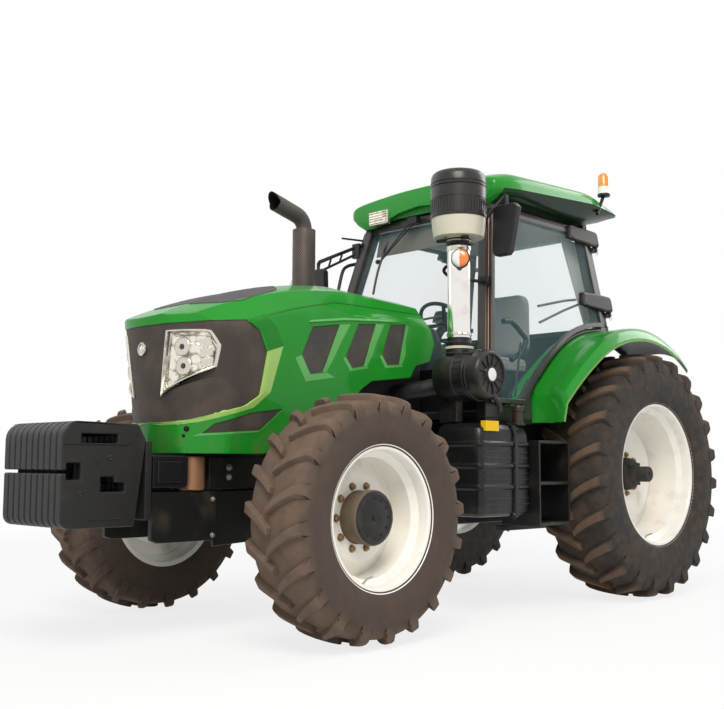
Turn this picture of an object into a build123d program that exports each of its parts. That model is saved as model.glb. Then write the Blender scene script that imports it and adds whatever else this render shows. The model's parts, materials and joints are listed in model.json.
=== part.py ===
"""Four-wheel-drive farm tractor with a cab, front weights and a rear linkage.

Millimetres. X is the tractor's left, -Y is forward and Z is up.  The pieces are laid out from a
datum on the ground under the front axle and moved along Y by ORIGIN_Y when they are written, so
that the written model stands centred on its origin.
"""
from build123d import *
import math
import os

# ---------------------------------------------------------------- driving dimensions
WHEELBASE = 2820
KINGPIN_X = 720
RUNNING_FIT = 0.05          # radial clearance of a shaft in its bore
PANEL = 5                   # pressed sheet of bonnet, fenders and tanks
CAST = 30                   # wall of a cast housing

# wheels: radius over the lugs, section width, bead seat radius, width between the flanges,
# middle of the tyre from the centre line
FRONT_TYRE_R, FRONT_TYRE_W, FRONT_BEAD_R, FRONT_RIM_W, FRONT_WHEEL_X = 652, 402, 355.6, 330, 955
REAR_TYRE_R, REAR_TYRE_W, REAR_BEAD_R, REAR_RIM_W, REAR_WHEEL_X = 862, 490, 482.6, 406, 908
FLANGE_H = 27               # rim flange above the bead seat
RIM_T = 9                   # rolled rim plate
DISC_T = 12                 # wheel disc plate
FRONT_HUB_R = 138
SPINDLE_R = 58
REAR_SHAFT_R = 50

# front axle and steering
ARM_LENGTH = 190            # steering arm, kingpin to tie rod pin
CYLINDER_ARM = 130          # kingpin to the eye of the steering cylinder's rod
KINGPIN_R = 30
TIE_PIN_R = 14
TIE_ROD_R = 18
TIE_ROD_Z = 722
STEER_ROD_R = 16

# engine and driveline
ENGINE = (270, 300, 1250, 700, 1720)          # half width, front, back, bottom, top
GEARBOX = (230, 1250, WHEELBASE - 300, 520, 1050)
DRIVE_SHAFT_Z = 575
REAR_CASE = (250, WHEELBASE - 300, WHEELBASE + 200, 520, 1080)
RAIL_Z0, RAIL_Z1 = 800, 960

# bonnet
HOOD_HALF = 400             # half width over the side panels
HOOD_LOW_HALF = 372         # half width at the lower edge
HOOD_LOW_Z = 980
HOOD_BACK_Y = 1170
SHOULDER_X, SHOULDER_SLOPE = 312, 1.6
CROWN_X, CROWN_SLOPE = 165, 0.33
NOSE_RAKE = 0.12            # how far the nose falls back for each unit of height
HOOD_HINGE_Y, HOOD_HINGE_Z = 1130, 1905

# cab
CAB_HALF, CAB_LEAN = 735, 0.17                # half width at CAB_REF_Z and its taper upward
CAB_REF_Z = 1700
A_POST_Y, A_POST_LEAN = 1400, 0.24            # front post at CAB_REF_Z, backward lean
C_POST_Y, C_POST_LEAN = 2850, -0.07           # rear post at CAB_REF_Z, forward lean
POST = 70                                     # width of a post across the tractor
A_DEPTH, C_DEPTH = 90, 110                    # lengths of the posts along the tractor
FLOOR_Z = 1110
SILL_Z = 1215                                 # platform over the tanks that carries the posts
CAB_TOP_Z = 2700
TUB_HALF = 610              # cab tub between the rear wheels
TUB_WALL = 30
FRONT_WALL_Y = 1368         # front face of the wall under the windscreen
SCREEN_Z = 1560             # lower edge of the windscreen
GLASS_T = 6
DOOR_T = 26
DOOR_GAP = 6                # door's inner face off the posts
DOOR_TOP_Z = 2655
DOOR_BAR = 34               # width of the door's frame bars
HINGE_PIN_R = 9
HINGE_EYE_R = 24
HINGE_BACK = 88             # hinge axis behind the rear post's line
HINGE_REACH = 390           # length of a hinge arm forward of its axis
HINGE_HEIGHTS = (2120, 2622)
DOOR_LOW_Z = 1312           # lower edge of the door, over the filler neck
SILL_H = 24                 # sill bar along the fender
DOOR_RISE = 10              # door's lower edge above the sill
DOOR_CORNER_Y = 1640        # where the door's lower edge turns up, so that it swings over the fender

# fenders
FENDER_R = REAR_TYRE_R + 178                  # top of the fender about the rear axle
FENDER_TOP_Z = REAR_TYRE_R + FENDER_R
FENDER_FRONT_R = 1150       # tangent arc down the front of the fender
FENDER_FLANK_R = 2710       # flatter arc below it, down to the upright foot
FENDER_TURNS = (31.8, 43.8) # degrees from the vertical where those two arcs end
FENDER_FOOT = (1735, 1190)  # (y, z)
FENDER_BACK_Y = 3300
# breaks across the fender's width: (x, shift forward, drop), each counted from the break before
FENDER_BREAKS = ((900, 0, 0), (1035, 58, 0), (1120, 62, 95))
FENDER_T = 10

# rear linkage
LIFT_RADIUS = 400           # lift arm and lower link work as a parallelogram of this radius
LIFT_Y, LIFT_Z = WHEELBASE + 180, 1215
LINK_Y, LINK_Z = WHEELBASE + 170, 610
LINK_LENGTH = 860
LINK_DROP = 8               # degrees below level as parked
BALL_BORE_R = 18.5
BALL_WIDTH = 45
BALL_R = 42
DRAWBAR_PIN_R = 16.5

WEIGHT_FRONT_Y = -1350
ORIGIN_Y = -(WEIGHT_FRONT_Y + LINK_Y + LINK_LENGTH * math.cos(math.radians(LINK_DROP)) + BALL_R) / 2


# ---------------------------------------------------------------- shared helpers
def outline(*points):
    """Closed flat face through the points."""
    return make_face(Polyline(*points, close=True))


def block(x0, x1, y0, y1, z0, z1):
    """Box between its lowest and highest corners."""
    return Pos((x0 + x1) / 2, (y0 + y1) / 2, (z0 + z1) / 2) * Box(x1 - x0, y1 - y0, z1 - z0)


def side_prism(face, x0, x1):
    """A face drawn in (Y, Z), from x0 to x1."""
    return extrude(Plane.YZ.offset(x0) * face, x1 - x0)


def cross_prism(face, y0, y1):
    """A face drawn in (X, Z), from y0 to y1."""
    return extrude(Plane.XZ.offset(-y0) * face, -(y1 - y0))


def plan_prism(face, z0, z1):
    """A face drawn in (X, Y), from z0 to z1."""
    return extrude(Plane.XY.offset(z0) * face, z1 - z0)


def rod(start, end, radius, bore=0):
    """Round bar between two points, or a tube when it has a bore."""
    axis = Vector(*end) - Vector(*start)
    section = Circle(radius)
    if bore:
        section -= Circle(bore)
    return extrude(Plane(origin=start, z_dir=axis) * section, axis.length)


def ring_x(profile, y, z):
    """Turn a face drawn in (X, radius) about a line along X through (y, z)."""
    return Pos(0, y, z) * revolve(profile, Axis.X)


def both_sides(shape):
    """A left-hand shape and its right-hand twin."""
    return shape + mirror(shape, about=Plane.YZ)


def write(node, shape, side=1):
    """Write one node; side -1 writes the right-hand twin of a left-hand shape."""
    if isinstance(shape, (list, ShapeList)):
        shape = Compound([solid for piece in shape for solid in piece.solids()])
    if side < 0:
        shape = mirror(shape, about=Plane.YZ)
    export_step(Pos(0, ORIGIN_Y, 0) * shape, "parts/" + node + ".step")


# ---------------------------------------------------------------- wheels
def tyre(radius, width, bead_r, rim_w, x, y):
    """Hollow tyre: bulged walls, a crowned tread band, beads on the rim."""
    half, bead = width / 2, rim_w / 2
    wide_r = bead_r + 0.47 * (radius - bead_r)
    shoulder_r, edge_r = radius - 42, radius - 14

    def right_side(grow):
        return [(grow * a, b) for a, b in
                ((bead, bead_r), (bead, bead_r + FLANGE_H), (half, wide_r),
                 (0.94 * half, shoulder_r), (0.84 * half, edge_r))]

    heel, lip, bulge, shoulder, edge = right_side(1)
    heel_l, lip_l, bulge_l, shoulder_l, edge_l = right_side(-1)
    outer = make_face([
        Line(heel_l, heel), Line(heel, lip), ThreePointArc(lip, bulge, shoulder),
        Line(shoulder, edge), ThreePointArc(edge, (0, radius), edge_l), Line(edge_l, shoulder_l),
        ThreePointArc(shoulder_l, bulge_l, lip_l), Line(lip_l, heel_l)])
    wall = 24
    toe = bead - 34
    cavity = outline((-toe, bead_r - 1), (toe, bead_r - 1), (toe, bead_r + FLANGE_H),
                     (half - wall, wide_r), (0.8 * half, radius - 80),
                     (-0.8 * half, radius - 80), (wall - half, wide_r), (-toe, bead_r + FLANGE_H))
    return Pos(x, 0, 0) * ring_x(outer - cavity, y, radius)


def rim_barrel(bead_r, rim_w, well_r):
    """Drop-centre barrel with rolled flanges, as a face in (X, radius) about the tyre's middle."""
    bead = rim_w / 2
    lip = bead + 13
    top = bead_r + FLANGE_H
    outside = [(-lip, top), (-bead, top), (-bead, bead_r), (-bead + 48, bead_r - 2),
               (-bead + 72, well_r), (bead - 96, well_r), (bead - 66, bead_r - 2), (bead, bead_r),
               (bead, top), (lip, top)]
    inside = [(lip, top - 6), (bead + 7, top - 8), (bead + 5, bead_r - RIM_T),
              (bead - 62, bead_r - 2 - RIM_T), (bead - 92, well_r - RIM_T),
              (-bead + 68, well_r - RIM_T), (-bead + 44, bead_r - 2 - RIM_T),
              (-bead - 5, bead_r - RIM_T), (-bead - 7, top - 8), (-lip, top - 6)]
    return outline(*outside, *inside)


def front_rim():
    """Barrel, dished disc and raised bolting ring of a front wheel."""
    well_r = FRONT_BEAD_R - 36
    seat = -20                      # back of the disc from the tyre's middle
    ring_r = 243
    dish = -78                      # where the disc meets the barrel
    disc = outline((seat, FRONT_HUB_R + 1), (seat + DISC_T, FRONT_HUB_R + 1),
                   (seat + DISC_T, ring_r), (seat, ring_r + 2), (dish + DISC_T, well_r - RIM_T + 1),
                   (dish, well_r - RIM_T + 1), (seat - DISC_T, ring_r - 6), (seat, ring_r - 12))
    face = rim_barrel(FRONT_BEAD_R, FRONT_RIM_W, well_r) + disc
    return Pos(FRONT_WHEEL_X, 0, 0) * ring_x(face, 0, FRONT_TYRE_R)


def rear_rim():
    """Barrel, deep dished disc and bolting ring of a rear wheel."""
    well_r = REAR_BEAD_R - 40
    seat = -62
    ring_r = 352
    dish = -112
    disc = outline((seat, REAR_SHAFT_R + 40), (seat + DISC_T, REAR_SHAFT_R + 40),
                   (seat + DISC_T, ring_r), (seat, ring_r + 2), (dish + DISC_T, well_r - RIM_T + 1),
                   (dish, well_r - RIM_T + 1), (seat - DISC_T, ring_r - 6), (seat, ring_r - 12))
    face = rim_barrel(REAR_BEAD_R, REAR_RIM_W, well_r) + disc
    return Pos(REAR_WHEEL_X, 0, 0) * ring_x(face, WHEELBASE, REAR_TYRE_R)


def front_hub():
    """Planetary hub: flange behind the wheel disc, drum and end cap."""
    seat = FRONT_WHEEL_X - 20
    cap = FRONT_WHEEL_X + 112
    inner = FRONT_WHEEL_X - 143
    bore = SPINDLE_R + RUNNING_FIT
    face = outline((inner, bore), (inner, 104), (seat - 46, 112), (seat - 18, 150), (seat - 18, 192),
                   (seat, 192), (seat, FRONT_HUB_R), (cap - 40, FRONT_HUB_R),
                   (cap - 40, FRONT_HUB_R + 5), (cap - 10, FRONT_HUB_R + 5), (cap, FRONT_HUB_R - 8),
                   (cap, 0), (seat + 52, 0), (seat + 52, bore))
    return ring_x(face, 0, FRONT_TYRE_R)


def rear_hub():
    """Bar axle end: shaft, bolting flange and clamp cone."""
    seat = REAR_WHEEL_X - 62
    tip = REAR_WHEEL_X + 140
    inner = 470
    face = outline((inner, 0), (inner, REAR_SHAFT_R), (seat - 60, REAR_SHAFT_R),
                   (seat - 40, 120), (seat - 20, 165), (seat, 165), (seat, REAR_SHAFT_R + 39),
                   (seat + DISC_T, REAR_SHAFT_R + 39), (seat + DISC_T, 118),
                   (seat + DISC_T + 34, 112), (seat + DISC_T + 60, 96), (seat + DISC_T + 100, 62),
                   (tip, 60), (tip, 0))
    return ring_x(face, WHEELBASE, REAR_TYRE_R)


# ---------------------------------------------------------------- front axle and steering
def front_axle_beam():
    """Cast beam: final-drive bulge, tapered arms, kingpin bosses and two pivot trunnions."""
    z = FRONT_TYRE_R
    half = outline((0, 0), (0, 138), (110, 138), (200, 92), (KINGPIN_X - 90, 66),
                   (KINGPIN_X, 62), (KINGPIN_X, 0))
    beam = both_sides(ring_x(half, -20, z))
    boss = rod((KINGPIN_X, 0, z - 112), (KINGPIN_X, 0, z + 112), 68)
    beam += both_sides(boss)
    beam += rod((0, -235, z), (0, -100, z), 52)
    beam += rod((0, 80, DRIVE_SHAFT_Z), (0, 290, DRIVE_SHAFT_Z), 66)
    beam += block(175, 215, 40, CYLINDER_ARM, z - 30, z + 20)
    bore = rod((KINGPIN_X, 0, z - 120), (KINGPIN_X, 0, z + 120), KINGPIN_R + RUNNING_FIT)
    return beam - both_sides(bore)


def knuckle(side):
    """Steering knuckle: fork round the kingpin boss, spindle and steering arm."""
    z = FRONT_TYRE_R
    reach = 112 + 3
    fork = block(KINGPIN_X - 60, KINGPIN_X + 86, -70, 70, z - reach - 32, z + reach + 32)
    fork -= block(KINGPIN_X - 61, KINGPIN_X + 74, -71, 71, z - reach, z + reach)
    fork = fork - block(KINGPIN_X - 61, KINGPIN_X - 20, -71, -45, 0, 2 * z)
    web = rod((KINGPIN_X + 74, 0, z), (KINGPIN_X + 84, 0, z), 100)
    spindle = rod((KINGPIN_X + 80, 0, z), (FRONT_WHEEL_X + 25, 0, z), SPINDLE_R)
    pin = rod((KINGPIN_X, 0, z - reach - 5), (KINGPIN_X, 0, z + reach + 5), KINGPIN_R)
    pin -= block(KINGPIN_X - 50, KINGPIN_X + 50, -50, 50, z - 64, z + 64)
    arm_z0, arm_z1 = TIE_ROD_Z - 50, TIE_ROD_Z - 28
    arm = plan_prism(outline((KINGPIN_X + 76, -50), (KINGPIN_X + 86, -50), (KINGPIN_X + 86, 70),
                             (KINGPIN_X + 34, ARM_LENGTH + 10), (KINGPIN_X, ARM_LENGTH + 34),
                             (KINGPIN_X - 34, ARM_LENGTH), (KINGPIN_X - 34, CYLINDER_ARM - 20),
                             (KINGPIN_X, 100), (KINGPIN_X + 76, 60)), arm_z0, arm_z1)
    tie_pin = rod((KINGPIN_X, ARM_LENGTH, arm_z0), (KINGPIN_X, ARM_LENGTH, TIE_ROD_Z + 26), TIE_PIN_R)
    body = fork + web + spindle + pin + arm + tie_pin
    return body if side > 0 else mirror(body, about=Plane.YZ)


def tie_rod():
    """Track rod with a bored eye at each end."""
    bar = rod((-KINGPIN_X + 20, ARM_LENGTH, TIE_ROD_Z), (KINGPIN_X - 20, ARM_LENGTH, TIE_ROD_Z), TIE_ROD_R)
    eye = rod((KINGPIN_X, ARM_LENGTH, TIE_ROD_Z - 24), (KINGPIN_X, ARM_LENGTH, TIE_ROD_Z + 22), 32)
    hole = rod((KINGPIN_X, ARM_LENGTH, 0), (KINGPIN_X, ARM_LENGTH, 2 * TIE_ROD_Z), TIE_PIN_R + RUNNING_FIT)
    return bar + both_sides(eye) - both_sides(hole)


STEER_Z = TIE_ROD_Z - 50 - 22       # axis of the steering cylinder, under the steering arm


def steering_cylinder():
    """Barrel fixed on the beam's lug, with a gland at its outer end."""
    barrel = rod((215, CYLINDER_ARM, STEER_Z), (520, CYLINDER_ARM, STEER_Z), 32)
    barrel -= rod((240, CYLINDER_ARM, STEER_Z), (540, CYLINDER_ARM, STEER_Z), STEER_ROD_R + RUNNING_FIT)
    return barrel


def steering_rod():
    """Cylinder rod, its flat eye riding just under the steering arm."""
    bar = rod((340, CYLINDER_ARM, STEER_Z), (KINGPIN_X - 20, CYLINDER_ARM, STEER_Z), STEER_ROD_R)
    eye = rod((KINGPIN_X, CYLINDER_ARM, STEER_Z - 18), (KINGPIN_X, CYLINDER_ARM, STEER_Z + 18), 30)
    return bar + eye


# ---------------------------------------------------------------- chassis
def front_support():
    """Cast front frame: two rails, cross members and hangers for the axle's trunnions."""
    rails = both_sides(block(150, 200, -640, 560, RAIL_Z0, RAIL_Z1))
    frame = rails + block(-200, 200, -640, -590, RAIL_Z0, RAIL_Z1)
    frame += block(-200, 200, -235, -175, RAIL_Z0, RAIL_Z1) + block(-200, 200, 232, 290, RAIL_Z0, RAIL_Z1)
    z = FRONT_TYRE_R
    front_hanger = block(-95, 95, -235, -180, z - 20, RAIL_Z0 + 10)
    front_hanger += rod((0, -235, z), (0, -180, z), 90)
    front_hanger -= rod((0, -260, z), (0, -90, z), 52)
    rear_hanger = block(-100, 100, 232, 285, 560, RAIL_Z0 + 10)
    rear_hanger += rod((0, 232, DRIVE_SHAFT_Z), (0, 285, DRIVE_SHAFT_Z), 100)
    rear_hanger -= rod((0, 60, DRIVE_SHAFT_Z), (0, 400, DRIVE_SHAFT_Z), 66)
    rear_hanger -= block(-150, 150, 200, 300, 0, 480)
    frame += front_hanger + rear_hanger
    half, front, back, low, top = ENGINE
    return frame - block(-half, half, front, back, low, top)


def engine_block():
    """Engine as one plain block with its sump."""
    half, front, back, low, top = ENGINE
    body = block(-half, half, front, back, low + 160, top)
    sump = block(-half + 60, half - 60, front + 60, back - 40, low, low + 160)
    return body + sump - both_sides(block(149, half + 1, front - 1, 561, RAIL_Z0, RAIL_Z1))


def transmission_housing():
    """Gearbox casting, tapering to the rear, with the tank outriggers."""
    half, front, back, low, top = GEARBOX
    case = plan_prism(outline((-half - 40, front), (half + 40, front), (half, front + 160),
                              (half, back), (-half, back), (-half, front + 160)), low, top)
    for y in (1310, 1480):
        case += block(-TANK_IN_X, TANK_IN_X, y, y + 50, low + 80, low + 140)
    return case


def rear_axle_housing():
    """Rear case with its two trumpets and the linkage brackets."""
    half, front, back, low, top = REAR_CASE
    z = REAR_TYRE_R
    case = block(-half, half, front, back, low, top)
    trumpet = outline((half - 20, 0), (half - 20, 170), (half + 60, 120), (520, 100), (560, 118),
                      (600, 118), (600, 0))
    case += both_sides(ring_x(trumpet, WHEELBASE, z))
    case -= both_sides(rod((460, WHEELBASE, z), (620, WHEELBASE, z), REAR_SHAFT_R + RUNNING_FIT))
    case += rod((0, back - 10, 700), (0, back + 12, 700), 85)
    lift_ear = block(120, 160, LIFT_Y - 65, LIFT_Y + 60, top - 10, LIFT_Z + 50)
    lift_ear -= rod((100, LIFT_Y, LIFT_Z), (180, LIFT_Y, LIFT_Z), 32 + RUNNING_FIT)
    top_ear = block(30, 55, back - 10, back + 95, 940, 1010)
    case += both_sides(lift_ear + top_ear)
    case -= rod((-60, back + 60, 975), (60, back + 60, 975), 16)
    ear = block(half - 1, half + 30, LINK_Y - 90, LINK_Y + 40, LINK_Z - 45, LINK_Z + 45)
    pin = rod((half + 20, LINK_Y, LINK_Z), (half + 95, LINK_Y, LINK_Z), 18)
    return case + both_sides(ear + pin)


def front_drive_shaft():
    """Guard tube of the shaft from the gearbox to the front axle."""
    return rod((0, 290, DRIVE_SHAFT_Z), (0, GEARBOX[1], DRIVE_SHAFT_Z), 42)


# ---------------------------------------------------------------- bonnet
def crest_curve(y0, y1, lift):
    """Closed face in (Y, Z) under the bonnet's crest, moved up by lift."""
    arc = ThreePointArc((-800, 1690 + lift), (-230, 1905 + lift), (500, 2020 + lift))
    back = Line((500, 2020 + lift), (y1, 1975 + lift))
    return make_face([Line((-800, 1690 + lift), (y0, 1600 + lift)), arc, back,
                      Line((y1, 1975 + lift), (y1, -2500)), Line((y1, -2500), (y0, -2500)),
                      Line((y0, -2500), (y0, 1600 + lift))])


def sloped_under(x_at_crest, slope, drop):
    """Everything under a surface that falls away to the left from the crest line."""
    start = -600
    lift = slope * (x_at_crest - start) - drop
    face = Plane.YZ.offset(start) * crest_curve(-1000, 1500, lift)
    return extrude(face, 1200 * math.sqrt(1 + slope * slope), dir=(1, 0, -slope))


def nose_plan(inset):
    """Bonnet seen from above: rounded nose, side panels running back."""
    half = HOOD_HALF - inset
    tip, corner_y = -748 + inset, -707 + inset
    corner_x = 210 - inset / 2
    right = [Line((half, 1500), (half, -180)),
             ThreePointArc((half, -180), (335 - inset * 0.7, -560 + inset * 0.7), (corner_x, corner_y))]
    nose = ThreePointArc((corner_x, corner_y), (0, tip), (-corner_x, corner_y))
    left = [ThreePointArc((-corner_x, corner_y), (-335 + inset * 0.7, -560 + inset * 0.7), (-half, -180)),
            Line((-half, -180), (-half, 1500))]
    return make_face(right + [nose] + left + [Line((-half, 1500), (half, 1500))])


def hood_form(inset):
    """Solid bonnet shape, all faces moved in by inset; open-ended below and behind."""
    top = side_prism(crest_curve(-1000, 1500, -inset), -600, 600)
    low, half = HOOD_LOW_HALF - inset, HOOD_HALF - inset
    section = outline((-low, 800), (low, 800), (low, HOOD_LOW_Z), (half, 1330), (half, 2200),
                      (-half, 2200), (-half, 1330), (-low, HOOD_LOW_Z))
    height = 1500
    plan_z = 2200
    plan = Plane.XY.offset(plan_z) * (Pos(0, -NOSE_RAKE * (plan_z - 1700), 0) * nose_plan(inset))
    nose = extrude(plan, height * math.sqrt(1 + NOSE_RAKE ** 2), dir=(0, NOSE_RAKE, -1))
    form = top & cross_prism(section, -1000, 1500) & nose
    for x, slope in ((CROWN_X, CROWN_SLOPE), (SHOULDER_X, SHOULDER_SLOPE)):
        drop = CROWN_SLOPE * (SHOULDER_X - CROWN_X) if x == SHOULDER_X else 0
        fall = inset * math.sqrt(1 + slope * slope)
        slab = sloped_under(x, slope, drop + fall)
        form = form & slab & mirror(slab, about=Plane.YZ)
    return form


def hood_edge():
    """Side view of the bonnet's lower edge, wheel arch and rear edge."""
    return make_face([
        Line((-1000, HOOD_LOW_Z), (-180, HOOD_LOW_Z)),
        ThreePointArc((-180, HOOD_LOW_Z), (230, 1130), (572, 1378)),
        Line((572, 1378), (659, 1431)), Line((659, 1431), (1010, 1472)),
        Line((1010, 1472), (1062, 1551)), Line((1062, 1551), (1195, 1588)),
        Line((1195, 1588), (1245, 1704)), Line((1245, 1704), (HOOD_BACK_Y, 1900)),
        Line((HOOD_BACK_Y, 1900), (HOOD_BACK_Y - 60, 2200)),
        Line((HOOD_BACK_Y - 60, 2200), (-1000, 2200)), Line((-1000, 2200), (-1000, HOOD_LOW_Z))])


SEAM = ((-1000, 1640), (-320, 1712), (30, 1812), (370, 1890), (1400, 1900))
GRILLE = ((-1000, 1640), (-320, 1712), (-226, 1655), (-174, 1543), (-227, 1301), (-330, 1240),
          (-620, 1155), (-1000, 1100))
# side vents: front top, back top, back bottom, middle bottom and front tip, each as (y, z)
SIDE_VENTS = (((166, 1717), (384, 1753), (248, 1460), (146, 1442), (83, 1547)),
              ((544, 1771), (693, 1786), (589, 1519), (486, 1499), (435, 1562)),
              ((828, 1793), (968, 1807), (902, 1550), (792, 1539), (747, 1598)))
LOW_VENT = ((-535, 1088), (-486, 1137), (-281, 1202), (-51, 1233), (-205, 1110))
HEADLIGHT = ((206, 1634), (335, 1642), (362, 1557), (343, 1390), (123, 1282))
TOP_VENT = ((0, -500), (95, -330), (118, -80), (60, 240), (0, 262))


def grown(face, amount):
    """A face with its edges moved outward."""
    return offset(face, amount, kind=Kind.INTERSECTION)


def hood_parts():
    """Top panel, side panel, black mesh and headlamps, cut from one shell."""
    skin = hood_form(0) - hood_form(PANEL)
    skin = skin & side_prism(hood_edge(), -600, 600)
    lining = (hood_form(PANEL) - hood_form(PANEL + 8)) & side_prism(hood_edge(), -600, 600)
    above = side_prism(outline(*SEAM, (1400, 2300), (-1000, 2300)), -600, 600)
    below = side_prism(outline(*SEAM, (1400, 500), (-1000, 500)), 0, 600)
    vent = outline(*TOP_VENT, (-60, 240), (-118, -80), (-95, -330))
    top = (skin & above) - plan_prism(vent, 1700, 2200)
    side = (skin & below) - side_prism(outline(*GRILLE), 0, 600)
    holes = [outline(*vent) for vent in SIDE_VENTS] + [outline(*LOW_VENT)]
    for hole in holes:
        side -= side_prism(hole, 300, 600)
    lamp_hole = cross_prism(outline(*HEADLIGHT), -1000, -200)
    lamps = both_sides((hood_form(2) - hood_form(40)) & lamp_hole)
    grille = lining & side_prism(grown(outline(*GRILLE), 18), -600, 600)
    mesh = grille - both_sides(lamp_hole)
    for hole in holes:
        mesh += both_sides(lining & side_prism(grown(hole, 12), 300, 600))
    mesh += lining & plan_prism(grown(vent, 12), 1700, 2200)
    return top, side, mesh, lamps


# ---------------------------------------------------------------- front weights
def front_weights():
    """Ten suitcase weights side by side on the carrier."""
    pitch, thick, count = 59, 55, 10
    face = make_face([
        Line((WEIGHT_FRONT_Y, 660), (WEIGHT_FRONT_Y, 1060)),
        ThreePointArc((WEIGHT_FRONT_Y, 1060), (WEIGHT_FRONT_Y + 26, 1114), (WEIGHT_FRONT_Y + 85, 1132)),
        Line((WEIGHT_FRONT_Y + 85, 1132), (-925, 1125)), Line((-925, 1125), (-880, 1050)),
        Line((-880, 1050), (-940, 612)), Line((-940, 612), (WEIGHT_FRONT_Y + 40, 612)),
        Line((WEIGHT_FRONT_Y + 40, 612), (WEIGHT_FRONT_Y, 660))])
    face -= outline((WEIGHT_FRONT_Y - 5, 878), (-1268, 878), (-1268, 847), (-1200, 847), (-1200, 923),
                    (-1268, 923), (-1268, 893), (WEIGHT_FRONT_Y - 5, 893))
    face -= outline((-1245, 1024), (-1045, 1024), (-1045, 1068), (-1245, 1068))
    weights = []
    for index in range(count):
        left = (index - count / 2) * pitch + (pitch - thick) / 2
        weights.append(side_prism(face, left, left + thick))
    return weights


def weight_bracket():
    """Carrier casting between the frame and the weights."""
    plate = block(-290, 290, -878, -840, 640, 1040)
    arms = both_sides(block(120, 170, -845, -640, 760, 960))
    return plate + arms + block(-200, 200, -700, -640, RAIL_Z0, RAIL_Z1)


# ---------------------------------------------------------------- cab
def cab_x(z):
    """Half width over the posts at a height."""
    return CAB_HALF - CAB_LEAN * (z - CAB_REF_Z)


def a_y(z):
    """Front post's middle line at a height."""
    return A_POST_Y + A_POST_LEAN * (z - CAB_REF_Z)


def c_y(z):
    """Rear post's middle line at a height."""
    return C_POST_Y + C_POST_LEAN * (z - CAB_REF_Z)


def leaning_post(line_y, z0, z1, depth):
    """Left-hand post along one of the cab's corner lines."""
    ends = []
    for z in (z0, z1):
        ends.append(Plane.XY.offset(z) * Pos(cab_x(z) - POST / 2, line_y(z), 0) * Rectangle(POST, depth))
    return loft(ends, ruled=True)


def side_slab(inner, outer):
    """Tilted slab parallel to the cab's left side, between two distances off the posts."""
    low, high = 900, 2800
    return cross_prism(outline((cab_x(low) + inner, low), (cab_x(low) + outer, low),
                               (cab_x(high) + outer, high), (cab_x(high) + inner, high)), 900, 3400)


def door_corner(z):
    """Triangle in side view under a 45 degree edge that starts at a height."""
    reach = 200
    return outline((DOOR_CORNER_Y, z), (DOOR_CORNER_Y + reach, z + reach), (DOOR_CORNER_Y + reach, z - reach),
                   (DOOR_CORNER_Y, z - reach))


def door_face(margin):
    """Left door in side view, every edge moved in by margin."""
    low, top = DOOR_LOW_Z + margin, DOOR_TOP_Z - margin
    front, rear = 24 - margin, 50 + margin
    return outline((a_y(low) - front, low), (c_y(low) - rear, low), (c_y(top) - rear, top),
                   (a_y(top) - front, top))


def door_slab(margin, inner, outer):
    """Left door's panel between two distances off the posts, clear of the fender's sill."""
    panel = side_prism(door_face(margin), 300, 1100) & side_slab(inner, outer)
    panel -= side_prism(fender_face(SILL_H + DOOR_RISE + margin), 200, 1200)
    return panel - side_prism(door_corner(DOOR_LOW_Z + margin * math.sqrt(2)), 200, 1200)


def cab_frame():
    """Four posts, head rails, the sills along the fenders and the door hinge brackets."""
    head_z = CAB_TOP_Z - 60
    frame = leaning_post(a_y, SILL_Z, CAB_TOP_Z, A_DEPTH)
    frame += leaning_post(c_y, FENDER_TOP_Z, CAB_TOP_Z, C_DEPTH)
    half_a, half_c = A_DEPTH / 2, C_DEPTH / 2
    head = outline((a_y(CAB_TOP_Z) - half_a, CAB_TOP_Z), (a_y(head_z) - half_a, head_z),
                   (c_y(head_z) + half_c, head_z), (c_y(CAB_TOP_Z) + half_c, CAB_TOP_Z))
    back = c_y(FENDER_TOP_Z) + half_c
    gusset = side_prism(door_corner(DOOR_LOW_Z - DOOR_RISE * math.sqrt(2)), 300, 1100)
    sill = side_prism(fender_face(SILL_H), 300, 1100) + gusset - side_prism(fender_face(0), 200, 1200)
    sill &= block(200, 1200, 1500, back, SILL_Z, 2200)
    foot_top, foot_end = DOOR_LOW_Z - DOOR_RISE, FENDER_FOOT[0] - 4
    foot = outline((a_y(SILL_Z) - half_a, SILL_Z), (foot_end, SILL_Z), (foot_end, foot_top),
                   (a_y(foot_top) - half_a, foot_top))
    sides = side_prism(head, 300, 1100) + sill + side_prism(foot, 300, 1100)
    frame = both_sides(frame + (sides & side_slab(-POST, 0)))
    reach = cab_x(head_z) - 2
    for y in (a_y(CAB_TOP_Z), c_y(CAB_TOP_Z)):
        frame += block(-reach, reach, y - 30, y + 30, head_z, CAB_TOP_Z)
    reach = cab_x(SILL_Z) - POST
    frame += block(-reach, reach, ENGINE[2] + 15, FRONT_WALL_Y, SILL_Z, SILL_Z + 50)
    reach = cab_x(FENDER_TOP_Z) - 2
    frame += block(-reach, reach, back - TUB_WALL, back, FENDER_TOP_Z, FENDER_TOP_Z + 50)
    return frame + both_sides(hinge_brackets())


def hinge_point(z):
    """Point of the left door's hinge axis at a height."""
    return (cab_x(z) + DOOR_GAP + DOOR_T / 2, c_y(z) + HINGE_BACK, z)


def hinge_brackets():
    """Left rear post's brackets, each with its hinge pin."""
    brackets = []
    for z in HINGE_HEIGHTS:
        pin_x, pin_y = hinge_point(z)[:2]
        rear_face = c_y(z) + C_DEPTH / 2
        piece = block(cab_x(z) - 55, pin_x + 12, rear_face - 4, pin_y + 16, z - 98, z - 62)
        brackets.append(piece + rod(hinge_point(z - 80), hinge_point(z + 60), HINGE_PIN_R))
    return brackets[0] + brackets[1]


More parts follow.
